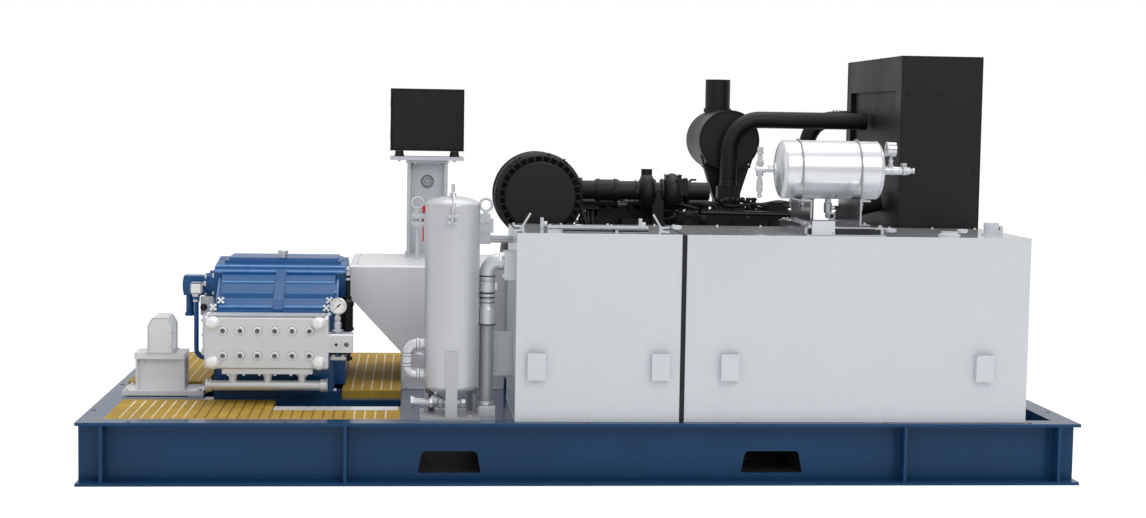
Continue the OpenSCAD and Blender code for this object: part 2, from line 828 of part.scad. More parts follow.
// Riser with its foot block, rings, bend, union and bolted flange on the left tank
module suction_riser() {
    bend = 60;
    riser_foot = base_height + 50;
    bend_z = riser_elbow_z - bend;
    color(stainless) union() {
        box([riser_x - 34, riser_y - 42, base_height], [riser_x + 44, riser_y + 42, riser_foot + 1]);
        translate([riser_x, riser_y, 0]) rotate_extrude($fn = 48)
            polygon(concat([[0, riser_foot], [33, riser_foot]],
                [for (step = riser_steps) [step[1], step[0]]],
                [[38, bend_z + 0.1], [0, bend_z + 0.1]]));
        pipe_bend([riser_x + bend, riser_y, bend_z], bend, riser_radius, 90);
        bar_x([riser_x + bend - 0.1, riser_y, riser_elbow_z], riser_radius,
            left_tank_x - riser_x - bend - 50);
        bar_x([left_tank_x - 66, riser_y, riser_elbow_z], riser_radius + 5, 16);
        box([left_tank_x - 52, riser_y - flange_half, riser_elbow_z - flange_half - 18],
            [left_tank_x, riser_y + flange_half, riser_elbow_z + flange_half - 18]);
    }
}

// Rod with a lifting ring, its two clamp plates and foot nut
module left_eye_rod() {
    x = -820;
    y = 330;
    ring_z = guard_top + 313;
    ring_r = 30;
    color(light_grey) union() {
        bar_z([x, y, guard_top], 8, ring_z - ring_r - guard_top);
        translate([x, y, guard_top]) cylinder(r = 17, h = 14, $fn = 6);
        for (z = [ring_z - 128, ring_z - 84])
            box([x - 34, y - 24, z], [x + 34, y + 24, z + 26]);
        bar_z([x, y, ring_z - ring_r - 30], 14, 26);
        translate([x, y, ring_z]) rotate([90, 0, 0]) rotate_extrude()
            translate([ring_r, 0]) circle(r = 7, $fn = 16);
    }
}

// The right ring stands on a stack of clamp blocks, held by an arm and pipe from the left tank
module right_eye_rod() {
    x = -486;
    y = -700;
    ring_z = 1311;
    color(light_grey) union() {
        box([x - 44, y - 35, 1117], [x + 22, y + 35, 1175]);
        box([x - 50, y - 38, 1174], [x + 36, y + 38, 1242]);
        box([x - 44, y - 35, 1241], [x + 22, y + 35, 1266]);
        bar_z([x, y, 1265], 13, ring_z - 1265 - 30);
        translate([x, y, ring_z]) rotate([90, 0, 0]) rotate_extrude()
            translate([30, 0]) circle(r = 7, $fn = 16);
        bar_x([x + 21, y, 1133], 10, left_tank_x - x - 21);
        box([x + 21, y - 12, 1141], [left_tank_x, y + 12, 1158]);
    }
}

left_tank_x = -355;
tank_front = -1157;
tank_back = tank_front + tank_depth;
tank_top = base_height + tank_height;
fuel_tank_x = left_tank_x + left_tank_width + seal_width;
lid_thickness = tank_wall;

// Open-topped sheet tank
module tank_shell(x, width) {
    difference() {
        box([x, tank_front, base_height], [x + width, tank_back, tank_top - lid_thickness]);
        box([x + tank_wall, tank_front + tank_wall, base_height + tank_wall],
            [x + width - tank_wall, tank_back - tank_wall, tank_top]);
    }
}

// Lid of a tank
module tank_lid(x, width) {
    box([x, tank_front, tank_top - lid_thickness], [x + width, tank_back, tank_top]);
}

module left_tank_shell() { color(light_grey) tank_shell(left_tank_x, left_tank_width); }
module left_tank_top() { color(light_grey) tank_lid(left_tank_x, left_tank_width); }
module fuel_tank_shell() { color(light_grey) tank_shell(fuel_tank_x, fuel_tank_width); }
module fuel_tank_top() { color(light_grey) tank_lid(fuel_tank_x, fuel_tank_width); }

// Black strip in the joint between both tanks
module tank_seal() {
    color(engine_black) box([left_tank_x + left_tank_width, tank_front + 8, base_height],
        [fuel_tank_x, tank_back - 8, tank_top - 4]);
}

// Lashing brackets on the tank fronts
module tank_brackets() {
    size = [86, 34, 128];
    wall = 5;
    color(light_grey)
        for (x = [left_tank_x + 55, left_tank_x + 648, fuel_tank_x + 170, fuel_tank_x + 1417])
            difference() {
                box([x, tank_front - size[1], 505], [x + size[0], tank_front, 505 + size[2]]);
                box([x + wall, tank_front - size[1] + wall, 505 + wall],
                    [x + size[0] - wall, tank_front - wall, 506 + size[2]]);
            }
}

rack_left = left_tank_x + 46;
rack_right = left_tank_x + 736;

// Rack bar with its posts and bent rods on the left lid, caps and discs on both lids
module tank_top_fittings() {
    rod = 5;
    color(light_grey) {
        box([left_tank_x + 155, -1000, tank_top], [left_tank_x + 642, -960, tank_top + 10]);
        for (x = [left_tank_x + 175, left_tank_x + 380, left_tank_x + 600])
            box([x, -990, tank_top + 9], [x + 24, -970, tank_top + 16]);
        box([left_tank_x + 155, -1000, tank_top + 16], [left_tank_x + 642, -960, tank_top + 28]);
        for (x = [left_tank_x + 131, left_tank_x + 611]) union() {
            box([x - 7, -948, tank_top], [x + 7, -912, tank_top + 62]);
            bar_x([x - 1, -930, tank_top + 32], 12, 26);
        }
        for (x = [rack_left, rack_right]) union() {
            inward = x == rack_left ? 1 : -1;
            bar_z([x, -770, tank_top], 10, 12);
            translate([x, -770, tank_top + 8]) rotate([0, inward*31, 0])
                cylinder(r = rod, h = 78, $fn = 16);
            translate([x, -770, tank_top + 8]) rotate([0, -inward*86, 0])
                cylinder(r = rod, h = 42, $fn = 16);
        }
    }
    color(light_grey) {
        for (place = [[left_tank_x + 848, -532], [1591, -595], [1967, -586]])
            translate([place[0], place[1], tank_top]) rotate_extrude()
                polygon([[0, 0], [28, 0], [28, 5], [22, 9], [0, 11]]);
        translate([1774, -1000, tank_top]) rotate_extrude()
            polygon([[0, 0], [54, 0], [54, 6], [40, 11], [40, 20], [0, 22]]);
    }
}

filler_x = 2014;
filler_y = -908;
filler_radius = 36;
neck_height = 36;
hinge_x = filler_x + filler_radius + 12;
hinge_z = tank_top + neck_height + 2;
hinge_pin_radius = 3.5;
hinge_clearance = 0.08;
lug_half = 8;
ear_outer = 14;

// Filler neck on the fuel tank's lid, with two hinge ears and their pin
module filler_neck() {
    outer = hinge_x + 8;
    ear_width = ear_outer - lug_half - 1;
    ear_middle = (lug_half + ear_outer + 1)/2;
    color(light_grey) union() {
        bar_z([filler_x, filler_y, tank_top], filler_radius, neck_height);
        bar_z([filler_x, filler_y, tank_top], filler_radius + 10, 8);
        box([filler_x + filler_radius - 4, filler_y - ear_outer, tank_top],
            [outer, filler_y + ear_outer, hinge_z - 12]);
        for (side = [-1, 1])
            translate([hinge_x - 8, filler_y + side*ear_middle - ear_width/2, hinge_z - 13])
                cube([16, ear_width, 18]);
        bar_y([hinge_x, filler_y - ear_outer, hinge_z], hinge_pin_radius, 2*ear_outer);
    }
}

// Hinged cap of the filler neck, its lug turning on the pin
module filler_cap() {
    color(light_grey) difference() {
        union() {
            bar_z([filler_x, filler_y, tank_top + neck_height + touch], filler_radius + 2, 24);
            bar_y([hinge_x, filler_y - lug_half, hinge_z], 8, 2*lug_half);
            box([filler_x + filler_radius - 6, filler_y - lug_half, hinge_z],
                [hinge_x, filler_y + lug_half, hinge_z + 8]);
        }
        bar_y([hinge_x, filler_y - lug_half - 1, hinge_z], hinge_pin_radius + hinge_clearance,
            2*lug_half + 2);
    }
}

receiver_x = 984;
receiver_y = -780;

// Straight shell of the lying air receiver
module receiver_shell() {
    color(stainless) translate([receiver_x, receiver_y, receiver_axis_height])
        rotate([0, 90, 0]) difference() {
            cylinder(r = receiver_radius, h = receiver_length, $fn = 96);
            translate([0, 0, -1])
                cylinder(r = receiver_radius - receiver_wall, h = receiver_length + 2, $fn = 96);
        }
}

// Both dished heads of the receiver
module receiver_heads() {
    color(stainless) translate([receiver_x, receiver_y, receiver_axis_height]) {
        translate([receiver_length, 0, 0]) rotate([0, 90, 0])
            dished_head(receiver_radius, 38, receiver_wall);
        rotate([0, -90, 0]) dished_head(receiver_radius, 38, receiver_wall);
    }
}

cradle_bottom = tank_top + 42;
saddle_top = receiver_axis_height - receiver_radius + 4;
saddle_places = [receiver_x + 98, receiver_x + 343];

// Channel outline standing upright in the XZ plane, its flanges towards one side
module saddle_outline(side) {
    flange = 48;
    sheet = 8;
    height = saddle_top - cradle_bottom;
    translate([-sheet/2, 0]) square([sheet, height]);
    for (z = [0, height - sheet])
        translate([side < 0 ? -flange : 0, z]) square([flange, sheet]);
}

// Base frame of channels, two channel saddles and their round cheeks under the receiver
module receiver_cradle() {
    left = receiver_x + 52;
    right = receiver_x + 442;
    front = receiver_y - 345;
    back = receiver_y + 345;
    wall = 6;
    color(light_grey) difference() {
        union() {
            for (y = [front, back - 50]) difference() {
                box([left, y, tank_top], [right, y + 50, cradle_bottom]);
                box([left - 1, y < receiver_y ? y - 1 : y + wall, tank_top + wall],
                    [right + 1, y < receiver_y ? y + 50 - wall : y + 51, cradle_bottom - wall]);
            }
            for (x = [left, right - 50])
                box([x, front + 44, tank_top], [x + 50, back - 44, cradle_bottom]);
            for (i = [0, 1])
                along_y(receiver_y - 230, 460)
                    translate([saddle_places[i], cradle_bottom - 0.1])
                    saddle_outline(i == 0 ? -1 : 1);
        }
        bar_x([receiver_x - 40, receiver_y, receiver_axis_height], receiver_radius + touch,
            receiver_length + 80);
    }
    color(light_grey) box([left + 24, front - 10, tank_top + 2], [left + 136, front, tank_top + 72]);
}

valve_x = receiver_x - 116;
gauge_pipe_x = receiver_x + receiver_length + 79;

// Valve column at the left and gauge pipe at the right of the receiver
module receiver_piping() {
    left = receiver_x - 38;
    right = receiver_x + receiver_length + 38;
    color(stainless) {
        union() {
            bar_x([valve_x, receiver_y, receiver_axis_height], 12, left - valve_x);
            bar_x([valve_x - 20, receiver_y, receiver_axis_height], 19, 52);
            bar_z([valve_x, receiver_y, receiver_axis_height - 145], 9, 250);
            bar_z([valve_x, receiver_y, receiver_axis_height - 34], 18, 68);
            bar_z([valve_x, receiver_y, receiver_axis_height - 109], 15, 44);
            bar_z([valve_x, receiver_y, receiver_axis_height + 71], 14, 38);
        }
        union() {
            bar_x([right, receiver_y, receiver_axis_height], 12, 138);
            bar_x([right, receiver_y, receiver_axis_height], 21, 34);
            bar_x([gauge_pipe_x - 6, receiver_y, receiver_axis_height], 21, 44);
            bar_x([right + 110, receiver_y, receiver_axis_height], 17, 28);
            bar_z([gauge_pipe_x, receiver_y, receiver_axis_height], 8, 72);
            bar_x([gauge_pipe_x - 22, receiver_y, receiver_axis_height + 106], 38, 42);
            bar_z([gauge_pipe_x + 66, receiver_y, receiver_axis_height], 9, 24);
            bar_z([gauge_pipe_x + 66, receiver_y, receiver_axis_height + 23], 16, 16);
        }
    }
}

drain_x = 1216;
drain_z = receiver_axis_height - 189;
handle_x = drain_x + 34;
stem_radius = 5;

// Drain valve under the receiver, with its stem and the elbow that faces the front
module receiver_drain() {
    bottom = drain_z - 40;
    color(stainless) union() {
        bar_z([drain_x, receiver_y, bottom], 11,
            receiver_axis_height - receiver_radius - bottom - touch);
        bar_z([drain_x, receiver_y, drain_z - 22], 20, 44);
        translate([drain_x, receiver_y, bottom]) sphere(r = 14);
        bar_x([drain_x, receiver_y, bottom], 13, 12);
        translate([drain_x + 10, receiver_y, bottom]) sphere(r = 14);
        bar_y([drain_x + 10, receiver_y - 40, bottom], 14, 40);
        bar_y([drain_x + 10, receiver_y - 46, bottom], 20, 16);
        bar_x([drain_x, receiver_y, drain_z], 10, handle_x - drain_x - touch);
        bar_x([drain_x, receiver_y, drain_z], stem_radius, handle_x - drain_x + 20);
    }
}

// T-handle of the drain valve
module drain_handle() {
    color("#202020") difference() {
        union() {
            bar_x([handle_x, receiver_y, drain_z], 11, 18);
            bar_y([handle_x + 10, receiver_y - 34, drain_z], 7, 68);
        }
        bar_x([handle_x - 1, receiver_y, drain_z], stem_radius + hinge_clearance, 20);
    }
}

engine_left = guard_right;
block_bottom = 440;
block_top = 1095;
radiator_left = half_l - 705;

engine_front_end = radiator_left - 195;

// Engine block with bell housing, sump, side covers and mounts
module engine_block() {
    rail_top = base_height + 100;
    start = engine_left + 119;
    color(engine_black) union() {
        bar_x([engine_left, engine_y, 760], 300, 120);
        bar_x([engine_left + 20, engine_y, 760], 322, 24);
        box([start, engine_y - 250, block_bottom + 160], [engine_front_end, engine_y + 250, block_top]);
        along_x(start, engine_front_end - start)
            polygon([[engine_y - 215, block_bottom], [engine_y + 215, block_bottom],
                [engine_y + 250, block_bottom + 161], [engine_y - 250, block_bottom + 161]]);
        for (side = [-1, 1], i = [0:5])
            translate([20 + i*230, engine_y + side*258, 930]) cube([150, 20, 170], center = true);
        for (x = [60, 1180], side = [-1, 1])
            box([x, engine_y + side*290 - 75, rail_top],
                [x + 120, engine_y + side*290 + 75, rail_top + 130]);
        bar_x([engine_front_end - 1, engine_y, 760], 180, 40);
        bar_x([engine_front_end - 1, engine_y, 900], 60, 30);
    }
}

charge_pad = block_top + 105;

// Cylinder heads, the rocker covers and the exhaust manifold behind them
module engine_heads() {
    cover_top = block_top + 110;
    color(engine_black) union() {
        box([70, engine_y - 150, block_top], [1320, engine_y + 150, block_top + 50]);
        box([170, engine_y - 55, block_top + 49], [530, engine_y + 90, cover_top + 70]);
        box([712, engine_y - 120, block_top + 49], [1267, engine_y + 90, cover_top + 43]);
        for (i = [0:5])
            box([80 + i*205, engine_y - 138, block_top + 49], [240 + i*205, engine_y + 96, cover_top]);
        box([charge_x - 64, charge_y - 42, block_top + 49], [charge_x + 64, charge_y + 26, charge_pad]);
        bar_x([60, engine_y + 175, block_top + 44], 42, 1180);
        for (i = [0:5])
            bar_y([110 + i*205, engine_y + 120, block_top + 30], 28, 60);
    }
}

filter_x = -189;
filter_front = -300;
filter_z = 1335;

slot_count = 31;
slot_width = 31;

// Air filter with its front disc, slotted ring, rim, rear band and saddle
module air_filter() {
    back = filter_front + filter_length;
    rim = filter_radius - 15;
    ring_inner = filter_disc_radius + 3;
    ring_outer = rim - 7;
    color(engine_black) union() {
        difference() {
            translate([filter_x, filter_front + 12, filter_z]) rotate([-90, 0, 0])
                rotate_extrude($fn = 96)
                polygon([[0, 0], [rim - 5, 0], [rim, 8], [rim, 44],
                    [rim - 7, 52], [rim - 7, 70], [filter_radius, 96], [filter_radius, 150],
                    [filter_radius - 8, 160], [filter_radius - 8, filter_length - 60],
                    [filter_radius, filter_length - 50], [filter_radius, filter_length - 24],
                    [filter_radius - 20, filter_length - 12], [0, filter_length - 12]]);
            for (i = [0:slot_count - 1])
                translate([filter_x, filter_front + 11, filter_z])
                    rotate([0, i*360/slot_count, 0])
                    translate([ring_inner, 0, -slot_width/2])
                    cube([ring_outer - ring_inner, 30, slot_width]);
        }
        translate([filter_x, filter_front, filter_z]) rotate([-90, 0, 0])
            rotate_extrude($fn = 96)
            polygon([[0, 0], [filter_disc_radius - 5, 0], [filter_disc_radius, 4],
                [filter_disc_radius, 14], [0, 14]]);
        box([filter_x - 110, 20, block_top], [filter_x + 110, back - 20, filter_z - 190]);
    }
}

turbo_y = 75;
turbo_z = 1362;
compressor_x = 370;

// Intake pipe from the filter to the compressor, with its rubber sleeve and clamps
module intake_pipe() {
    start = filter_x + 190;
    sleeve = start + 130;
    color(engine_black) difference() {
        union() {
            bar_x([start, turbo_y, turbo_z], 51, compressor_x - start);
            bar_x([start, turbo_y, turbo_z], 66, 60);
            bar_x([sleeve, turbo_y, turbo_z], 58, 130);
            for (x = [sleeve + 10, sleeve + 104]) bar_x([x, turbo_y, turbo_z], 62, 16);
        }
        bar_y([filter_x, filter_front, filter_z], filter_radius + touch, filter_length + 200);
    }
}

// Spiral housing about an axis along X, its outlet pipe rising on one side
module volute(x0, width, small, large) {
    translate([x0 + width/2, turbo_y, turbo_z]) rotate([0, 90, 0]) union() {
        for (i = [0:11])
            rotate([0, 0, i*30]) rotate_extrude(angle = 30.5)
                translate([small*0.62 + (large - small)*i/22, 0])
                circle(r = width/2*(0.72 + 0.28*i/11), $fn = 20);
        cylinder(r = small*0.7, h = width*0.9, center = true);
    }
}

// Turbocharger with compressor and turbine spirals, bearing housing, clamps and foot
module turbocharger() {
    bearing_x = compressor_x + 82;
    turbine_x = bearing_x + 48;
    outlet_x = turbine_x + 144;
    color(engine_black) union() {
        volute(compressor_x, 84, 84, 110);
        bar_x([compressor_x, turbo_y, turbo_z], 56, 20);
        translate([compressor_x + 42, turbo_y, turbo_z + 55]) cylinder(r = 30, h = 62);
        bar_x([bearing_x - 14, turbo_y, turbo_z], 46, 78);
        bar_x([bearing_x - 2, turbo_y, turbo_z], 62, 10);
        bar_x([turbine_x - 10, turbo_y, turbo_z], 66, 12);
        volute(turbine_x, 100, 78, 92);
        box([turbine_x + 14, turbo_y - 42, turbo_z + 52], [turbine_x + 98, turbo_y + 42, turbo_z + 84]);
        bar_x([turbine_x + 94, turbo_y, turbo_z], 58, 50);
        bar_x([turbine_x + 118, turbo_y, turbo_z], 70, 14);
        bar_x([outlet_x, turbo_y, turbo_z], 48, 110);
        box([bearing_x - 10, turbo_y - 45, block_top], [bearing_x + 50, turbo_y + 23, turbo_z]);
    }
}

muffler_x = 930;
muffler_front = 465;
muffler_z = 1636;
stack_y = muffler_front + 380;

stack_x = muffler_x - 9;

// Muffler drum with rimmed ends, its open stack and the tapered saddle
module muffler() {
    saddle_front = muffler_front + 70;
    saddle_foot = block_top;
    color(engine_black) difference() {
        union() {
            translate([muffler_x, muffler_front, muffler_z]) rotate([-90, 0, 0])
                rotate_extrude($fn = 96)
                polygon([[0, 6], [muffler_radius - 10, 6], [muffler_radius - 7, 0],
                    [muffler_radius, 0], [muffler_radius, muffler_length],
                    [muffler_radius - 7, muffler_length], [muffler_radius - 10, muffler_length - 6],
                    [0, muffler_length - 6]]);
            bar_z([stack_x, stack_y, muffler_z], stack_radius, stack_top - muffler_z);
            bar_z([stack_x, stack_y, muffler_z + muffler_radius - 12], stack_radius + 8, 24);
            along_y(saddle_front, 70)
                polygon([[muffler_x - 70, 1300], [muffler_x + 70, 1300],
                    [muffler_x + 128, 1486], [muffler_x + 100, 1560],
                    [muffler_x - 100, 1560], [muffler_x - 128, 1486]]);
            box([muffler_x - 70, engine_y + 222, block_top], [muffler_x + 70, saddle_front + 70, 1301]);
        }
        bar_z([stack_x, stack_y, stack_top - 160], stack_radius - 5, 161);
    }
}

charge_x = muffler_x - 14;
charge_y = muffler_front - 14 - charge_pipe_radius;
charge_z = 1755;
charge_foot = 1306;
second_bend = 150;
second_x = radiator_left - 247;
second_y = muffler_front + 330;
second_z = 1766;

// Charge air pipes with bends and hose sleeves, from the engine to the radiator
module charge_air_pipes() {
    bend = 175;
    r = charge_pipe_radius;
    color(engine_black) {
        union() {
            bar_z([charge_x, charge_y, charge_foot], r, charge_z - charge_foot - bend);
            pipe_bend([charge_x + bend, charge_y, charge_z - bend], bend, r, 90);
            bar_x([charge_x + bend - 0.1, charge_y, charge_z], r,
                radiator_left - charge_x - bend + 0.1);
            bar_x([radiator_left - 30, charge_y, charge_z], r + 3, 30);
            box([charge_x - 64, charge_y - 42, charge_pad],
                [charge_x + 64, charge_y + 26, charge_foot + 74]);
        }
        union() {
            bar_z([second_x, second_y, charge_foot - 140], r,
                second_z - charge_foot - second_bend + 140);
            pipe_bend([second_x + second_bend, second_y, second_z - second_bend], second_bend, r, 90);
            bar_x([second_x + second_bend - 0.1, second_y, second_z], r,
                radiator_left - second_x - second_bend + 0.1);
            bar_x([radiator_left - 60, second_y, second_z], r + 5, 50);
            box([second_x - 60, engine_y + 250, block_top - 120],
                [second_x + 40, second_y + 40, charge_foot - 139]);
        }
    }
}

radiator_front = -340;

radiator_back = radiator_front + radiator_depth;
radiator_right = radiator_left + radiator_width;
recess_foot = 1290;

// Radiator box with the recessed left face, the core opening and the top cap
module radiator_housing() {
    recess = 25;
    color(engine_black) {
        difference() {
            box([radiator_left, radiator_front, base_height],
                [radiator_right, radiator_back, radiator_top]);
            box([radiator_left - 1, radiator_front + 110, recess_foot],
                [radiator_left + recess, radiator_back - 80, radiator_top - 181]);
            box([radiator_right - recess, radiator_front + 90, base_height + 160],
                [radiator_right + 1, radiator_back - 90, radiator_top - 150]);
        }
    }
}

shroud_depth = 175;
shroud_foot = 850;
shroud_radius = 350;

// Shroud between the engine's fan and the radiator
module fan_shroud() {
    sheet = 8;
    color(engine_black) translate([radiator_left - shroud_depth, engine_y, shroud_foot])
        rotate([0, 90, 0]) difference() {
            cylinder(r1 = shroud_radius - 60, r2 = shroud_radius, h = shroud_depth, $fn = 64);
            translate([0, 0, -1])
                cylinder(r1 = shroud_radius - 60 - sheet, r2 = shroud_radius - sheet,
                    h = shroud_depth + 2, $fn = 64);
        }
}

base_front_beam();
base_rear_beam();
base_left_beam();
base_right_beam();
base_cross_members();
fork_tunnels();
pump_bay_members();
engine_rails();
deck_plate();
front_grating();
rear_gratings();
pump_pedestal();
pump_crankcase();
pump_crosshead_housing();
pump_fluid_end();
pump_plugs();
suction_manifold();
discharge_block();
pressure_gauge();
lube_oil_pump();
lube_oil_pipe();
pump_oil_filter();
aux_bracket();
aux_cover();
coupling_guard();
panel_column();
panel_shelf();
control_panel();
vessel_shell();
vessel_heads();
vessel_legs();
vessel_piping();
suction_riser();
left_eye_rod();
right_eye_rod();
left_tank_shell();
left_tank_top();
fuel_tank_shell();
fuel_tank_top();
tank_seal();
tank_brackets();
tank_top_fittings();
filler_neck();
filler_cap();
receiver_shell();
receiver_heads();
receiver_cradle();
receiver_piping();
receiver_drain();
drain_handle();
engine_block();
engine_heads();
air_filter();
intake_pipe();
turbocharger();
muffler();
charge_air_pipes();
radiator_housing();
fan_shroud();
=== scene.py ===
import json
import random
from itertools import product
from math import cos, pi, radians, sin, sqrt

import bmesh
import bpy
from mathutils import Matrix, Vector


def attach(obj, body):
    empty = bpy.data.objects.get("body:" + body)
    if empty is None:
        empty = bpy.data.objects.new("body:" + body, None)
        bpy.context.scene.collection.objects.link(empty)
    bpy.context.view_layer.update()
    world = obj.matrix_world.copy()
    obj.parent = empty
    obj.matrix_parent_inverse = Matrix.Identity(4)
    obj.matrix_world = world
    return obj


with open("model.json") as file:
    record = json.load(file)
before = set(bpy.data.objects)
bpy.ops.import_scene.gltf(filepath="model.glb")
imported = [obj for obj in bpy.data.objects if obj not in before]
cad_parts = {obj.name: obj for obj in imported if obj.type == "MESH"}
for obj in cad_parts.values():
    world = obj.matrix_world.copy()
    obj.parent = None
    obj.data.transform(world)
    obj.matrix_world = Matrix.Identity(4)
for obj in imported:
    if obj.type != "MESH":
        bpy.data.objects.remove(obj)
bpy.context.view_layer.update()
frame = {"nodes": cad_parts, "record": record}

scene = bpy.context.scene
random.seed(7)


# Shader nodes

def add_node(nt, kind, inputs=None, **settings):
    """Shader node; its inputs are constants, or outputs of other nodes to link."""
    made = nt.nodes.new("ShaderNode" + kind)
    for key, value in settings.items():
        setattr(made, key, value)
    for key, value in (inputs or {}).items():
        if isinstance(value, bpy.types.NodeSocket):
            nt.links.new(value, made.inputs[key])
        else:
            made.inputs[key].default_value = value
    return made


def add_ramp(nt, source, low, low_color, high, high_color):
    ramp = add_node(nt, "ValToRGB", {0: source})
    first, last = ramp.color_ramp.elements
    first.position, first.color = low, low_color
    last.position, last.color = high, high_color
    return ramp.outputs[0]


def add_noise(nt, place, scale, detail, rough=0.5):
    return add_node(nt, "TexNoise", {"Vector": place, "Scale": scale, "Detail": detail,
                                     "Roughness": rough}).outputs["Fac"]


def add_range(nt, source, low, high, to_low, to_high):
    return add_node(nt, "MapRange", {"Value": source, "From Min": low, "From Max": high,
                                     "To Min": to_low, "To Max": to_high}).outputs[0]


def add_mix(nt, share, first, second):
    return add_node(nt, "Mix", {0: share, 6: first, 7: second}, data_type="RGBA").outputs[2]


# Camera, light, floor

CAMERA_PLACE = Vector((-0.851657, -9.712763, 1.723333))
YAW, PITCH, ROLL = 0.0887681, 0.0748342, -0.0162235
FOCAL_PIXELS, PHOTO_PIXELS, SENSOR_MM = 1820, 1146, 36
WHITE = (1, 1, 1, 1)
FLOOR_SIZE = 60


def add_camera():
    """The camera fitted to the photo."""
    ahead = Vector((sin(YAW)*cos(PITCH), cos(YAW)*cos(PITCH), -sin(PITCH)))
    level = Vector((cos(YAW), -sin(YAW), 0))
    upright = level.cross(ahead)
    right = cos(ROLL)*level - sin(ROLL)*upright
    up = sin(ROLL)*level + cos(ROLL)*upright
    data = bpy.data.cameras.new("camera")
    data.sensor_width = SENSOR_MM
    data.lens = FOCAL_PIXELS/PHOTO_PIXELS*SENSOR_MM
    ob = bpy.data.objects.new("camera", data)
    turn = Matrix((right, up, -ahead)).transposed().to_4x4()
    ob.matrix_world = Matrix.Translation(CAMERA_PLACE) @ turn
    scene.collection.objects.link(ob)
    scene.camera = ob


def add_light(name, place, target, energy, size):
    data = bpy.data.lights.new(name, "AREA")
    data.energy = energy
    data.size = size
    ob = bpy.data.objects.new(name, data)
    ob.location = place
    ob.rotation_euler = (Vector(target) - Vector(place)).to_track_quat("-Z", "Y").to_euler()
    scene.collection.objects.link(ob)


def add_world():
    """White to the camera, and a soft grey to white sky to everything else."""
    world = bpy.data.worlds.new("studio")
    scene.world = world
    world.use_nodes = True
    nt = world.node_tree
    nt.nodes.clear()
    coords = add_node(nt, "TexCoord")
    split = add_node(nt, "SeparateXYZ", {0: coords.outputs["Generated"]})
    lift = add_range(nt, split.outputs["Z"], -1, 1, 0, 1)
    sky = add_ramp(nt, lift, 0.30, (0.60, 0.60, 0.61, 1), 0.85, WHITE)
    lit = add_node(nt, "Background", {"Color": sky, "Strength": 0.80})
    seen = add_node(nt, "Background", {"Color": WHITE, "Strength": 1.0})
    path = add_node(nt, "LightPath")
    mix = add_node(nt, "MixShader", {0: path.outputs["Is Camera Ray"], 1: lit.outputs[0],
                                     2: seen.outputs[0]})
    add_node(nt, "OutputWorld", {"Surface": mix.outputs[0]})


def add_floor():
    """Wide floor that the camera sees nearly white, with the unit's soft shadow."""
    mesh = bpy.data.meshes.new("floor")
    s = FLOOR_SIZE
    mesh.from_pydata([(-s, -s, 0), (s, -s, 0), (s, s, 0), (-s, s, 0)], [], [(0, 1, 2, 3)])
    ob = bpy.data.objects.new("floor", mesh)
    scene.collection.objects.link(ob)
    m = bpy.data.materials.new("floor")
    m.use_nodes = True
    nt = m.node_tree
    nt.nodes.clear()
    path = add_node(nt, "LightPath")
    share = add_node(nt, "Math", {0: path.outputs["Is Camera Ray"], 1: 0.80}, operation="MULTIPLY")
    diffuse = add_node(nt, "BsdfDiffuse", {"Color": (0.93, 0.93, 0.94, 1)})
    glow = add_node(nt, "Emission", {"Color": WHITE, "Strength": 1.15})
    mix = add_node(nt, "MixShader", {0: share.outputs[0], 1: diffuse.outputs[0],
                                     2: glow.outputs[0]})
    add_node(nt, "OutputMaterial", {"Surface": mix.outputs[0]})
    ob.data.materials.append(m)


add_camera()
add_world()
add_floor()
add_light("key", (2.4, -8.4, 6.5), (0, 0, 0.8), 200, 5.0)
add_light("side", (-9.0, 1.0, 4.0), (1.5, 0, 1.6), 40, 5.0)
add_light("top", (0.5, 0.5, 7.0), (0.2, 0, 0), 205, 6.0)
add_light("rim", (6.5, 4.0, 4.5), (0.5, 0, 1), 65, 4.0)
scene.view_settings.view_transform = "Standard"


# Materials

def srgb(*c):
    return tuple((v/255/12.92) if v <= 10 else ((v/255 + 0.055)/1.055)**2.4 for v in c)


def shade(color, factor):
    return (*(min(1.0, c*factor) for c in color), 1)


